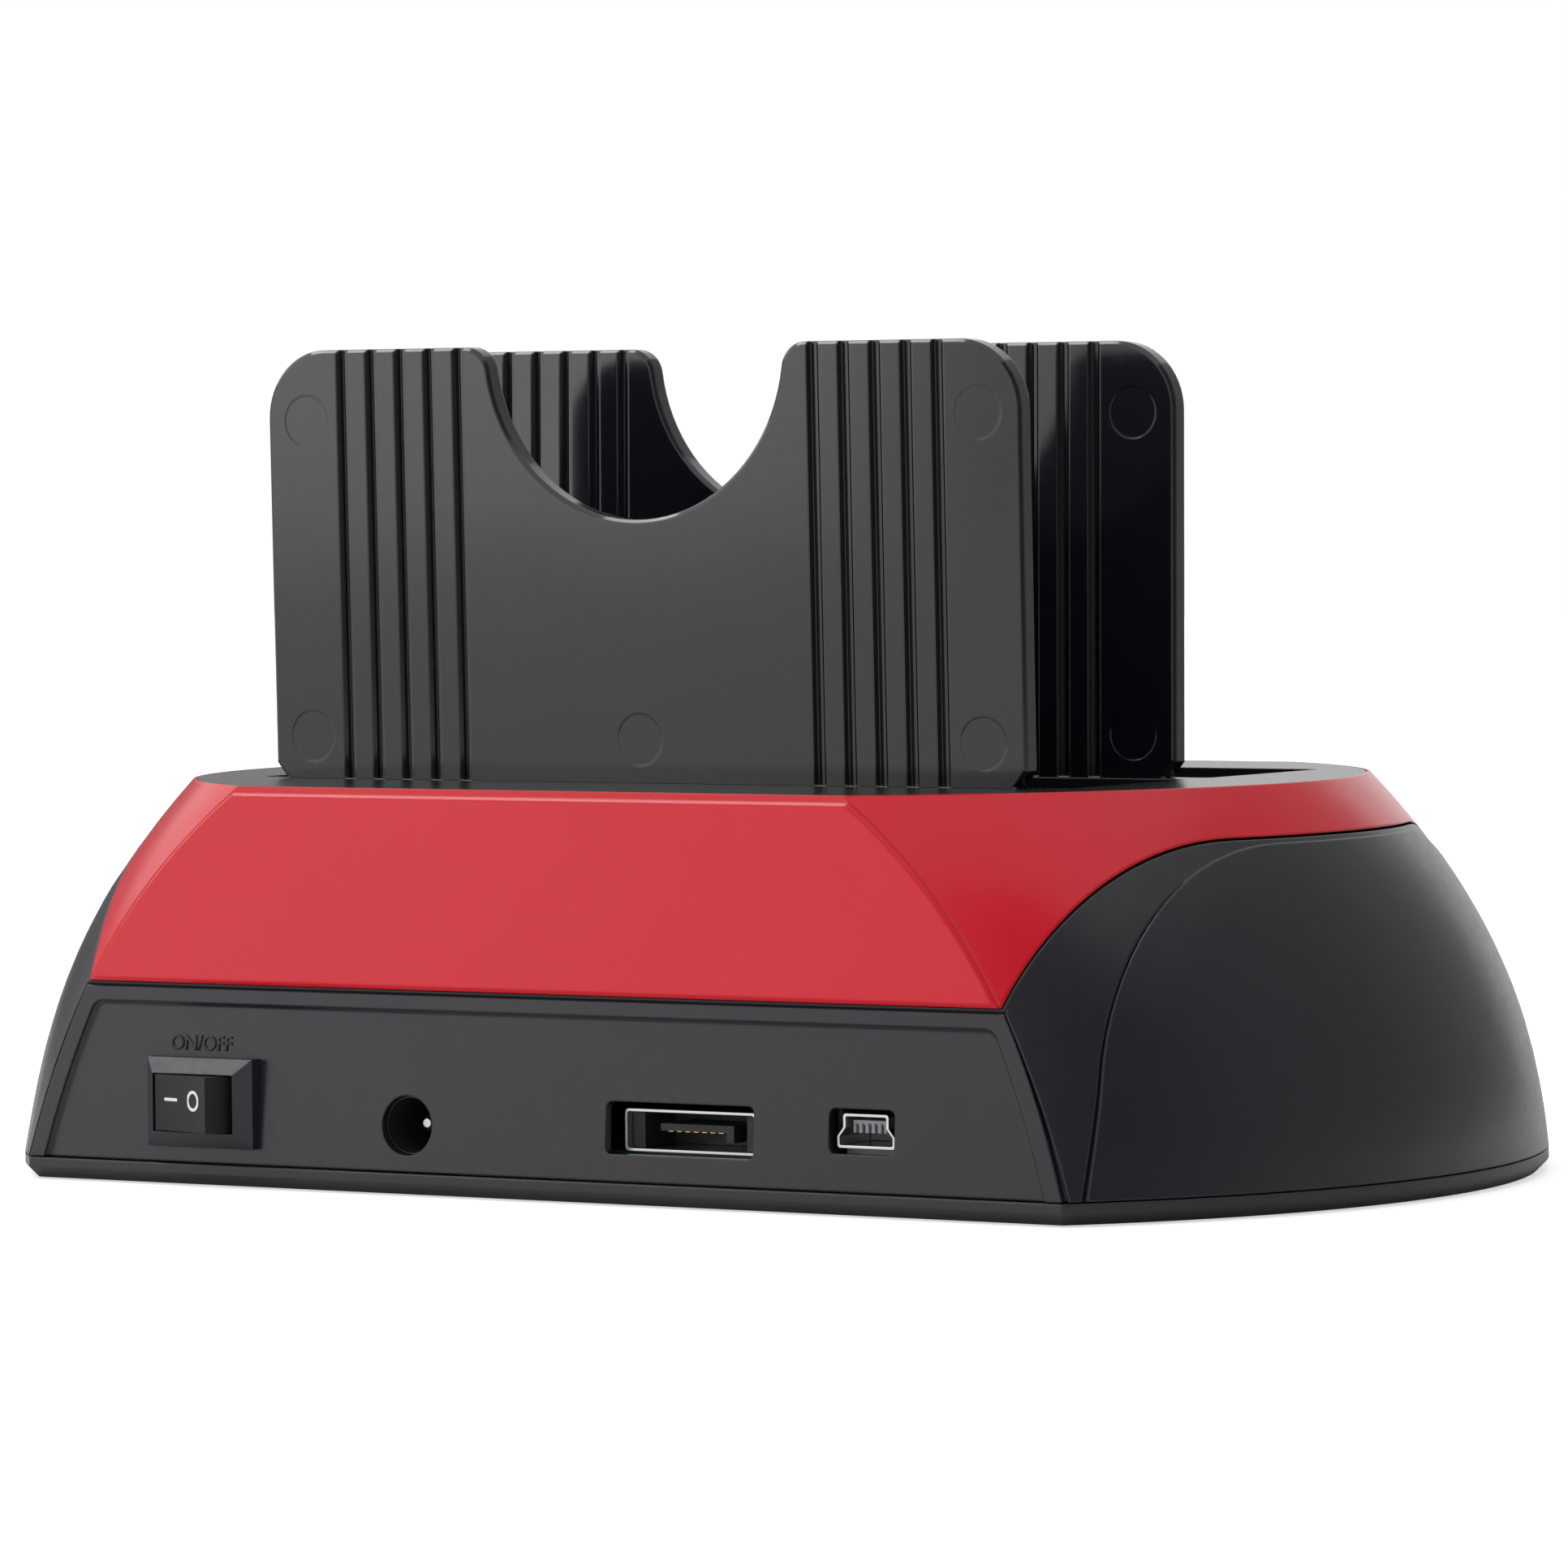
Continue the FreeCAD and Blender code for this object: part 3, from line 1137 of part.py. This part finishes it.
def make_usb_contacts():
    front = usb_front_y()
    top = USB_Z + USB_TONGUE_LIFT + USB_TONGUE[1] / 2 - 0.35
    contacts = [box(x - 0.2, x + 0.2, front - 6.0, front - 1.2, top - 0.2, top) for x in usb_contact_xs()]
    return Part.makeCompound(contacts)


# ================================================================ front controls
def button_flange_y():
    """Front of the button's flange, just behind the leaning wall."""
    return SEAT_GAP - wall_inner_y(CONTROL_Z + BUTTON_HEIGHT / 2 + BUTTON_FLANGE)


def make_copy_button():
    """Stadium-shaped cap with a flange behind the panel."""
    face = -panel_floor_y(CONTROL_Z) - BUTTON_PROUD
    behind = button_flange_y()
    round_end = BUTTON_HEIGHT / 2 - 0.01
    cap = rounded_block(BUTTON_X, CONTROL_Z, BUTTON_LENGTH, BUTTON_HEIGHT, face, behind + JOIN, round_end)
    cap = cap.makeChamfer(BUTTON_EDGE, [e for e in cap.Edges if e.BoundBox.YMax < face + 0.01])
    flange = centred_box(BUTTON_X, CONTROL_Z, BUTTON_LENGTH + 2 * BUTTON_FLANGE, BUTTON_HEIGHT + 2 * BUTTON_FLANGE,
                         behind, behind + BUTTON_FLANGE_THICK)
    width, reach = BUTTON_STEM
    stem = centred_box(BUTTON_X, BOARD_TOP + TACT_SIZE / 2, width, width, behind + JOIN, behind + reach)
    return solids_only(fuse([cap, flange, stem]))


def tact_front_y():
    return button_flange_y() + BUTTON_STEM[1] + BUTTON_TRAVEL + TACT_SPARE


def make_tact_switch():
    y = tact_front_y()
    z = BOARD_TOP + TACT_SIZE / 2
    body = centred_box(BUTTON_X, z, TACT_SIZE, TACT_SIZE, y, y + TACT_DEPTH)
    return body.cut(cylinder(BUTTON_X, y - 1, z, TACT_PLUNGER_R + TACT_PLUNGER_GAP, 1 + TACT_BORE, Vector(0, 1, 0)))


def make_tact_plunger():
    z = BOARD_TOP + TACT_SIZE / 2
    start = button_flange_y() + BUTTON_STEM[1] + FIT
    end = tact_front_y() + TACT_BORE - BUTTON_TRAVEL - TACT_SPARE
    return cylinder(BUTTON_X, start, z, TACT_PLUNGER_R, end - start, Vector(0, 1, 0))


def light_face_y():
    return -panel_floor_y(CONTROL_Z) - LIGHT_PROUD


def make_light_pipes():
    collar_y = SEAT_GAP - wall_inner_y(CONTROL_Z + LIGHT_R + LIGHT_COLLAR)
    pipes = []
    for x in LIGHT_XS:
        pipe = cylinder(x, light_face_y(), CONTROL_Z, LIGHT_R, LIGHT_LENGTH, Vector(0, 1, 0))
        collar = cylinder(x, collar_y, CONTROL_Z, LIGHT_R + LIGHT_COLLAR, LIGHT_COLLAR_THICK, Vector(0, 1, 0))
        pipes.append(fuse([pipe, collar]))
    return Part.makeCompound(pipes)


def make_indicator_leds():
    y = light_face_y() + LIGHT_LENGTH + LED_GAP
    half = LED_WIDTH / 2
    top = CONTROL_Z + LIGHT_R
    return Part.makeCompound([box(x - half, x + half, y, y + LED_DEPTH, BOARD_TOP, top) for x in LIGHT_XS])


# ================================================================ every sub-part
PARTS = {
    "base_tray": make_base_tray,
    "rubber_feet": make_rubber_feet,
    "lower_housing": make_lower_housing,
    "upper_shell": make_upper_shell,
    "top_deck": make_top_deck,
    "bay_well_rear": lambda: make_bay_well(PLATE_REAR_Y),
    "bay_well_front": lambda: make_bay_well(PLATE_FRONT_REAR_Y),
    "back_plate_rear": lambda: make_back_plate(PLATE_REAR_Y, REAR_PLATE_LEAN, 0.0),
    "back_plate_front": lambda: make_back_plate(PLATE_FRONT_REAR_Y, FRONT_PLATE_LEAN, FRONT_PLATE_ASIDE),
    "main_board": make_main_board,
    "sata_socket_rear": lambda: make_sata_socket(PLATE_REAR_Y),
    "sata_socket_front": lambda: make_sata_socket(PLATE_FRONT_REAR_Y),
    "sata_contacts_rear": lambda: make_sata_contacts(PLATE_REAR_Y),
    "sata_contacts_front": lambda: make_sata_contacts(PLATE_FRONT_REAR_Y),
    "board_screws": make_board_screws,
    "case_screws": make_case_screws,
    "bridge_chip": make_bridge_chip,
    "support_chips": make_support_chips,
    "crystal": make_crystal,
    "capacitors": make_capacitors,
    "inductor": make_inductor,
    "switch_frame": make_switch_frame,
    "switch_rocker": make_switch_rocker,
    "switch_terminals": make_switch_terminals,
    "dc_jack_body": make_dc_jack_body,
    "dc_jack_pin": make_dc_jack_pin,
    "dc_jack_spring": make_dc_jack_spring,
    "esata_shell": make_esata_shell,
    "esata_block": make_esata_block,
    "esata_contacts": make_esata_contacts,
    "usb_shell": make_usb_shell,
    "usb_block": make_usb_block,
    "usb_contacts": make_usb_contacts,
    "copy_button": make_copy_button,
    "tact_switch": make_tact_switch,
    "tact_plunger": make_tact_plunger,
    "light_pipes": make_light_pipes,
    "indicator_leds": make_indicator_leds,
}


def main():
    """Build every sub-part, centre the whole on the origin and write one file each."""
    os.makedirs("parts", exist_ok=True)
    shapes = {name: make() for name, make in PARTS.items()}
    bounds = FreeCAD.BoundBox()
    for shape in shapes.values():
        bounds.add(shape.optimalBoundingBox(False, False))
    shift = Vector(-bounds.Center.x, -bounds.Center.y, -bounds.ZMin)
    print("shift", shift, "size", bounds.XLength, bounds.YLength, bounds.ZLength)
    for name, shape in shapes.items():
        shape.translate(shift)
        if not shape.isValid():
            print("not valid:", name)
        shape.exportStep("parts/" + name + ".step")


main()
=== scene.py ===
import math

import bmesh
import bpy
from mathutils import Matrix, Vector


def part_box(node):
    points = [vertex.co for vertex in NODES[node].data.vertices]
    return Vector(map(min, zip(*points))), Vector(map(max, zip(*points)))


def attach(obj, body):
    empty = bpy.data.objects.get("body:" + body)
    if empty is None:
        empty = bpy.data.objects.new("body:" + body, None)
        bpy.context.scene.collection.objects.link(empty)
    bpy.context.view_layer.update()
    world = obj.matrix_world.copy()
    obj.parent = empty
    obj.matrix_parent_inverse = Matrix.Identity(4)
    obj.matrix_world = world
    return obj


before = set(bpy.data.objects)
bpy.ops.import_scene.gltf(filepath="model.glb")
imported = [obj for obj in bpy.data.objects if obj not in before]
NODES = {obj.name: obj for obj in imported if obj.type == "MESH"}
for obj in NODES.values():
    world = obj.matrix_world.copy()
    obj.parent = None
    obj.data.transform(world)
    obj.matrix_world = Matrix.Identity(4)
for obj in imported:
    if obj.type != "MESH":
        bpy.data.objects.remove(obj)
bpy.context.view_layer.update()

# Lengths are in metres, angles in degrees and powers in watts, unless a comment says otherwise.


# ---------------------------------------------------------------- node helpers
def new_material(name):
    mat = bpy.data.materials.new(name)
    mat.use_nodes = True
    tree = mat.node_tree
    tree.nodes.clear()
    out = tree.nodes.new("ShaderNodeOutputMaterial")
    shader = tree.nodes.new("ShaderNodeBsdfPrincipled")
    tree.links.new(shader.outputs["BSDF"], out.inputs["Surface"])
    return mat, tree, shader


def feed(tree, socket, value):
    """Link another node's output to a socket, or set the socket to a plain value."""
    if isinstance(value, bpy.types.NodeSocket):
        tree.links.new(value, socket)
    else:
        socket.default_value = value


def noise(tree, coord, scale, detail):
    node = tree.nodes.new("ShaderNodeTexNoise")
    node.inputs["Scale"].default_value = scale
    node.inputs["Detail"].default_value = detail
    tree.links.new(coord, node.inputs["Vector"])
    return node.outputs["Fac"]


def remap(tree, value, low, high, out_low, out_high):
    node = tree.nodes.new("ShaderNodeMapRange")
    node.inputs["From Min"].default_value = low
    node.inputs["From Max"].default_value = high
    node.inputs["To Min"].default_value = out_low
    node.inputs["To Max"].default_value = out_high
    tree.links.new(value, node.inputs["Value"])
    return node.outputs["Result"]


def combine(tree, operation, first, second):
    node = tree.nodes.new("ShaderNodeMath")
    node.operation = operation
    feed(tree, node.inputs[0], first)
    feed(tree, node.inputs[1], second)
    return node.outputs[0]


def mix_colour(tree, factor, first, second):
    node = tree.nodes.new("ShaderNodeMix")
    node.data_type = "RGBA"
    feed(tree, node.inputs["Factor"], factor)
    feed(tree, node.inputs["A"], first)
    feed(tree, node.inputs["B"], second)
    return node.outputs["Result"]


# ---------------------------------------------------------------- materials
TONE_NOISE, GLOSS_NOISE = (60.0, 4.0), (900.0, 3.0)     # scale per metre, and detail
GRAIN_NOISE, WAVE_NOISE = (6000.0, 2.0), (25.0, 2.0)
GRAIN_DEPTH, WAVE_DEPTH = 0.00002, 0.0006
TONE_BAND, GLOSS_BAND = (0.3, 0.7), (0.25, 0.75)        # noise values at the two extremes
EDGE_SHADE_BAND = (0.999, 0.97)     # cosine between rounded and flat normal, at no painted edge shade and at full
BEVEL_SAMPLES = 6


def paint_edge_shade(tree, base, rounded, colour):
    """Painted shade: deeper colour where the rounded normal leaves the flat one, along creases
    and corners, standing in for the shade that falls there.
    """
    flat = tree.nodes.new("ShaderNodeNewGeometry").outputs["Normal"]
    along = tree.nodes.new("ShaderNodeVectorMath")
    along.operation = "DOT_PRODUCT"
    tree.links.new(rounded, along.inputs[0])
    tree.links.new(flat, along.inputs[1])
    painted_shade = remap(tree, along.outputs["Value"], *EDGE_SHADE_BAND, 0.0, 1.0)
    return mix_colour(tree, painted_shade, base, (*colour, 1))


def surface(name, colour, shade, rough, spread=0.03, grain=0.0, wave=0.0, edge=0.0,
            edge_shade_colour=None, specular=0.5, metallic=0.0, transmission=0.0):
    """Moulded or metal surface whose tone drifts between colour and shade and whose roughness
    drifts by spread, with fine grain, soft waves and edges that look rounded by edge. Where an
    edge colour is given, the shade along creases and corners is painted in it."""
    mat, tree, shader = new_material(name)
    coord = tree.nodes.new("ShaderNodeTexCoord").outputs["Object"]
    tone = remap(tree, noise(tree, coord, *TONE_NOISE), *TONE_BAND, 0.0, 1.0)
    base = mix_colour(tree, tone, (*colour, 1), (*shade, 1))
    gloss = remap(tree, noise(tree, coord, *GLOSS_NOISE), *GLOSS_BAND,
                  rough - spread, rough + spread)
    tree.links.new(gloss, shader.inputs["Roughness"])
    shader.inputs["Metallic"].default_value = metallic
    shader.inputs["Specular IOR Level"].default_value = specular
    shader.inputs["Transmission Weight"].default_value = transmission
    normal = None
    if edge:
        bevel = tree.nodes.new("ShaderNodeBevel")
        bevel.samples = BEVEL_SAMPLES
        bevel.inputs["Radius"].default_value = edge
        normal = bevel.outputs["Normal"]
        if edge_shade_colour:
            # Painted shade: the base colour deepens towards the edge colour along creases and
            # corners.
            base = paint_edge_shade(tree, base, normal, edge_shade_colour)
    tree.links.new(base, shader.inputs["Base Color"])
    for strength, pattern, depth in ((grain, GRAIN_NOISE, GRAIN_DEPTH),
                                     (wave, WAVE_NOISE, WAVE_DEPTH)):
        if not strength:
            continue
        bump = tree.nodes.new("ShaderNodeBump")
        bump.inputs["Strength"].default_value = strength
        bump.inputs["Distance"].default_value = depth
        tree.links.new(noise(tree, coord, *pattern), bump.inputs["Height"])
        if normal is not None:
            tree.links.new(normal, bump.inputs["Normal"])
        normal = bump.outputs["Normal"]
    if normal is not None:
        tree.links.new(normal, shader.inputs["Normal"])
    return mat


BODY = surface("body_satin", (0.0095, 0.009, 0.0145), (0.0115, 0.011, 0.0165), 0.3,
               grain=0.25, edge=0.0003)
TRAY = surface("tray_satin", (0.016, 0.0155, 0.021), (0.019, 0.0185, 0.024), 0.36, spread=0.04,
               grain=0.25, edge=0.0004)
# The red shell's dark crease and edge lines are painted shade, in the deeper red edge colour.
RED = surface("shell_red", (0.66, 0.01, 0.026), (0.64, 0.009, 0.024), 0.22,
              grain=0.1, edge=0.0004, edge_shade_colour=(0.6, 0.002, 0.002), specular=0.35)
PLATE = surface("plate_gloss", (0.006, 0.0055, 0.0095), (0.007, 0.0065, 0.011), 0.1, spread=0.015,
                edge=0.0003, wave=0.1, specular=0.72)
DECK = surface("deck_satin", (0.01, 0.01, 0.011), (0.013, 0.013, 0.014), 0.27, spread=0.008,
               edge=0.0002)
INNER = surface("inner_black", (0.01, 0.01, 0.01), (0.016, 0.016, 0.016), 0.5, spread=0.05,
                grain=0.2)
RUBBER = surface("rubber_feet", (0.02, 0.02, 0.02), (0.03, 0.03, 0.03), 0.75, spread=0.05,
                 grain=0.5)
BOARD = surface("solder_mask", (0.006, 0.05, 0.022), (0.01, 0.065, 0.03), 0.35, spread=0.05,
                grain=0.2)
CHIP = surface("chip_epoxy", (0.02, 0.02, 0.02), (0.028, 0.028, 0.028), 0.55, spread=0.05,
               grain=0.4)
METAL = surface("port_nickel", (0.78, 0.77, 0.75), (0.7, 0.69, 0.68), 0.22, spread=0.05,
                metallic=1.0, edge=0.00008)
GOLD = surface("contact_gold", (0.85, 0.62, 0.28), (0.8, 0.56, 0.24), 0.25, spread=0.05,
               metallic=1.0)
STEEL = surface("screw_steel", (0.5, 0.5, 0.5), (0.42, 0.42, 0.43), 0.35, spread=0.06,
                metallic=1.0)
CAN = surface("can_aluminium", (0.72, 0.72, 0.73), (0.65, 0.65, 0.67), 0.3, spread=0.05,
              metallic=1.0)
FRAME = surface("switch_satin", (0.013, 0.013, 0.019), (0.017, 0.017, 0.024), 0.36, spread=0.04,
                grain=0.3, edge=0.00015)
ROCKER = surface("rocker_satin", (0.009, 0.0095, 0.011), (0.012, 0.0125, 0.014), 0.42,
                 spread=0.04, grain=0.3, edge=0.0002, specular=0.3)
TONGUE = surface("tongue_grey", (0.3, 0.3, 0.33), (0.26, 0.26, 0.29), 0.4, spread=0.05,
                 grain=0.2, edge=0.0001)
BUTTON = surface("button_gloss", (0.03, 0.03, 0.033), (0.038, 0.038, 0.042), 0.25, edge=0.0003)
LIGHT = surface("light_pipe", (0.6, 0.72, 0.8), (0.55, 0.68, 0.78), 0.15, transmission=0.6)
LED = surface("led_epoxy", (0.7, 0.75, 0.72), (0.6, 0.68, 0.66), 0.2)
MARK = surface("mark_white", (0.8, 0.82, 0.84), (0.74, 0.77, 0.8), 0.5, spread=0.05, grain=0.3)

FINISH = {
    "base_tray": TRAY, "lower_housing": BODY, "upper_shell": RED, "top_deck": DECK,
    "back_plate_rear": PLATE, "back_plate_front": PLATE,
    "bay_well_rear": INNER, "bay_well_front": INNER,
    "sata_socket_rear": INNER, "sata_socket_front": INNER,
    "sata_contacts_rear": GOLD, "sata_contacts_front": GOLD,
    "rubber_feet": RUBBER, "case_screws": STEEL,
    "main_board": BOARD, "board_screws": STEEL,
    "bridge_chip": CHIP, "support_chips": CHIP,
    "crystal": CAN, "capacitors": CAN, "inductor": CHIP,
    "switch_frame": FRAME, "switch_rocker": ROCKER, "switch_terminals": GOLD,
    "dc_jack_body": INNER, "dc_jack_pin": METAL, "dc_jack_spring": METAL,
    "esata_shell": METAL, "esata_block": INNER, "esata_contacts": GOLD,
    "usb_shell": METAL, "usb_block": TONGUE, "usb_contacts": GOLD,
    "copy_button": BUTTON, "tact_switch": CHIP, "tact_plunger": CHIP,
    "light_pipes": LIGHT, "indicator_leds": LED,
}
for name, mat in FINISH.items():
    for part_slot in NODES[name].material_slots:
        part_slot.material = mat


# ---------------------------------------------------------------- marks and words on the switch
PROBE_START = 1.0               # lines that look for a surface start this far out
MARK_HALF = 0.00002             # a mark stands this far out of the rocker, and as far in
STROKE = 0.00036
BAR_LENGTH = 0.0022
RING_WIDTH, RING_HEIGHT = 0.0023, 0.0024
CAP_STEPS, RING_STEPS = 8, 40   # steps round each end of the bar, and round the ring
BAR_INSET, RING_INSET = 0.5, 1.235      # from the rocker's +X end, in halves of its width
MARK_RISE = 0.0004                      # above the rocker's middle
WORDS_SIZE = 0.0024
WORDS_HALF, WORDS_BEVEL = 0.00012, 0.00004      # half the letters' thickness, less the bevel
WORDS_SHIFT, WORDS_RISE = 0.0008, 0.0015        # from the middle of the frame's upper edge


def add_object(name, data):
    obj = bpy.data.objects.new(name, data)
    bpy.context.scene.collection.objects.link(obj)
    return obj


def surface_frame(node, x, z):
    """Where a line along -Y first meets a CAD node: a transform to that place, whose axes run
    to the reader's right, up the surface and out of it."""
    obj = NODES[node]
    hit, place, normal, _ = obj.ray_cast(Vector((x, PROBE_START, z)), Vector((0, -1, 0)))
    if not hit:
        raise RuntimeError("nothing to put a mark on at " + node)
    up = (Vector((0, 0, 1)) - normal.z * normal).normalized()
    axes = Matrix((up.cross(normal), up, normal)).transposed().to_4x4()
    return Matrix.Translation(place) @ axes


def add_mark(name, outer, inner, node, body, x, z):
    """Flat shape between two closed outlines, or within the outer one, let into a CAD surface."""
    bm = bmesh.new()
    rings = []
    for level in (-MARK_HALF, MARK_HALF):
        for loop in (outer, inner):
            rings.append([bm.verts.new((u, v, level)) for u, v in loop] if loop else None)
    low_out, low_in, top_out, top_in = rings
    count = len(outer)
    for i in range(count):
        j = (i + 1) % count
        bm.faces.new((low_out[i], low_out[j], top_out[j], top_out[i]))
        if inner:
            bm.faces.new((low_in[j], low_in[i], top_in[i], top_in[j]))
            bm.faces.new((top_out[i], top_out[j], top_in[j], top_in[i]))
            bm.faces.new((low_out[j], low_out[i], low_in[i], low_in[j]))
    if not inner:
        bm.faces.new(top_out)
        bm.faces.new(low_out[::-1])
    mesh = bpy.data.meshes.new(name)
    bm.to_mesh(mesh)
    bm.free()
    mesh.materials.append(MARK)
    mark = add_object(name, mesh)
    mark.matrix_world = surface_frame(node, x, z)
    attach(mark, body)


def rounded_bar(length, thick):
    half, r = length / 2 - thick / 2, thick / 2
    outline = []
    for side, start in ((1, -math.pi / 2), (-1, math.pi / 2)):
        for k in range(CAP_STEPS + 1):
            angle = start + math.pi * k / CAP_STEPS
            outline.append((side * half + r * math.cos(angle), r * math.sin(angle)))
    return outline


def oval(width, height):
    angles = [2 * math.pi * k / RING_STEPS for k in range(RING_STEPS)]
    return [(width / 2 * math.cos(a), height / 2 * math.sin(a)) for a in angles]


def switch_marks():
    """White bar and ring on the rocker, one on each half of its face."""
    low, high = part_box("switch_rocker")
    half_width = high.x - (low.x + high.x) / 2
    z = (low.z + high.z) / 2 + MARK_RISE
    add_mark("mark_bar", rounded_bar(BAR_LENGTH, STROKE), None,
             "switch_rocker", "power_rocker", high.x - BAR_INSET * half_width, z)
    add_mark("mark_ring", oval(RING_WIDTH, RING_HEIGHT),
             oval(RING_WIDTH - 2 * STROKE, RING_HEIGHT - 2 * STROKE),
             "switch_rocker", "power_rocker", high.x - RING_INSET * half_width, z)


def switch_words():
    """Raised ON/OFF in the panel's own plastic, above the switch."""
    low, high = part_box("switch_frame")
    words = bpy.data.curves.new("words_on_off", "FONT")
    words.body = "ON/OFF"
    words.size = WORDS_SIZE
    words.align_x, words.align_y = "CENTER", "CENTER"
    words.extrude = WORDS_HALF
    words.bevel_depth = WORDS_BEVEL
    maker = bpy.data.objects.new("words_maker", words)
    mesh = bpy.data.meshes.new_from_object(maker)
    bpy.data.objects.remove(maker)
    mesh.materials.clear()
    mesh.materials.append(BODY)
    letters = add_object("words_on_off", mesh)
    letters.matrix_world = surface_frame(
        "lower_housing", (low.x + high.x) / 2 + WORDS_SHIFT, high.z + WORDS_RISE)
    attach(letters, "housing")


switch_marks()
switch_words()


# ---------------------------------------------------------------- studio
FLOOR_SIZE = 6.0
FLOOR_TONE, MATT_ROUGH = 0.85, 0.9
FLOOR_GLOW = 0.6                        # seen by the camera alone, which lifts it to white
WORLD_LIT, WORLD_SEEN = 0.92, 1.0       # strength as light, and as background or reflection
CAMERA_PLACE = (-0.49813, 0.80281, 0.08197)
CAMERA_TURN, CAMERA_DIP, CAMERA_ROLL = 31.722, 2.2455, -0.5196
LENS, SENSOR = 184.91, 36.0             # millimetres
NEAR_CLIP, FAR_CLIP = 0.05, 20


def sheet(name, width, height):
    """Flat rectangle round its own middle."""
    w, h = width / 2, height / 2
    mesh = bpy.data.meshes.new(name)
    mesh.from_pydata([(-w, -h, 0), (w, -h, 0), (w, h, 0), (-w, h, 0)], [], [(0, 1, 2, 3)])
    return add_object(name, mesh)


def matt_material(name, tone):
    mat, tree, shader = new_material(name)
    shader.inputs["Base Color"].default_value = (tone, tone, tone, 1)
    shader.inputs["Roughness"].default_value = MATT_ROUGH
    shader.inputs["Specular IOR Level"].default_value = 0.0
    return mat, tree, shader


def studio():
    """Pale floor and white world, both at a plain level as light on the object."""
    floor = sheet("floor", FLOOR_SIZE, FLOOR_SIZE)
    mat, tree, shader = matt_material("floor_white", FLOOR_TONE)
    shader.inputs["Emission Color"].default_value = (1, 1, 1, 1)
    path = tree.nodes.new("ShaderNodeLightPath").outputs
    glow = combine(tree, "MULTIPLY", path["Is Camera Ray"], FLOOR_GLOW)
    tree.links.new(glow, shader.inputs["Emission Strength"])
    floor.data.materials.append(mat)

    world = bpy.data.worlds.new("studio")
    bpy.context.scene.world = world
    world.use_nodes = True
    tree = world.node_tree
    tree.nodes.clear()
    out = tree.nodes.new("ShaderNodeOutputWorld")
    back = tree.nodes.new("ShaderNodeBackground")
    tree.links.new(back.outputs[0], out.inputs["Surface"])
    back.inputs["Color"].default_value = (1, 1, 1, 1)
    path = tree.nodes.new("ShaderNodeLightPath").outputs
    seen = combine(tree, "MAXIMUM", path["Is Camera Ray"], path["Is Glossy Ray"])
    seen = combine(tree, "MAXIMUM", seen, path["Is Transmission Ray"])
    strength = remap(tree, seen, 0.0, 1.0, WORLD_LIT, WORLD_SEEN)
    tree.links.new(strength, back.inputs["Strength"])


def camera():
    """Long lens from behind the port panel, a little above the deck."""
    turn, dip, roll = (math.radians(a) for a in (CAMERA_TURN, CAMERA_DIP, CAMERA_ROLL))
    forward = Vector((math.sin(turn) * math.cos(dip), -math.cos(turn) * math.cos(dip),
                      -math.sin(dip)))
    level = Vector((-math.cos(turn), -math.sin(turn), 0))
    upright = level.cross(forward)
    right = math.cos(roll) * level + math.sin(roll) * upright
    up = math.cos(roll) * upright - math.sin(roll) * level
    data = bpy.data.cameras.new("camera")
    data.sensor_width = SENSOR
    data.lens = LENS
    data.clip_start, data.clip_end = NEAR_CLIP, FAR_CLIP
    cam = add_object("camera", data)
    axes = Matrix((right, up, -forward)).transposed().to_4x4()
    cam.matrix_world = Matrix.Translation(Vector(CAMERA_PLACE)) @ axes
    bpy.context.scene.camera = cam


def softbox(name, place, aim, width, height, power):
    light = bpy.data.lights.new(name, "AREA")
    light.shape = "RECTANGLE"
    light.size = width
    light.size_y = height
    light.energy = power
    lamp = add_object(name, light)
    lamp.location = place
    lamp.rotation_mode = "QUATERNION"
    lamp.rotation_quaternion = (Vector(aim) - Vector(place)).to_track_quat("-Z", "Y")


def card(name, azimuth, distance, width, height, tone):
    """Matt card that stands on the floor and faces the object, which reflects it. No camera
    sees it. Its azimuth is counted from +X towards +Y."""
    board = sheet(name, width, height)
    board.visible_camera = False
    turn = math.radians(azimuth)
    place = Vector((distance * math.cos(turn), distance * math.sin(turn), height / 2))
    board.location = place
    board.rotation_mode = "QUATERNION"
    board.rotation_quaternion = Vector((-place.x, -place.y, 0)).to_track_quat("Z", "Y")
    board.data.materials.append(matt_material(name, tone)[0])


studio()
camera()
softbox("key_top", place=(0.62, 0.1, 1.0), aim=(0, 0, 0.04), width=0.55, height=0.5, power=3.6)
softbox("wide_left", place=(1.2, 1.2, 0.3), aim=(0, 0, 0.05), width=0.95, height=1.1, power=3.2)
card("card_near", azimuth=151, distance=0.9, width=0.48, height=1.4, tone=0.18)
card("card_side", azimuth=214, distance=1.0, width=2.6, height=1.3, tone=0.44)
card("card_back", azimuth=-41, distance=3.0, width=2.1, height=0.62, tone=0.2)
bpy.context.scene.view_settings.view_transform = "Standard"
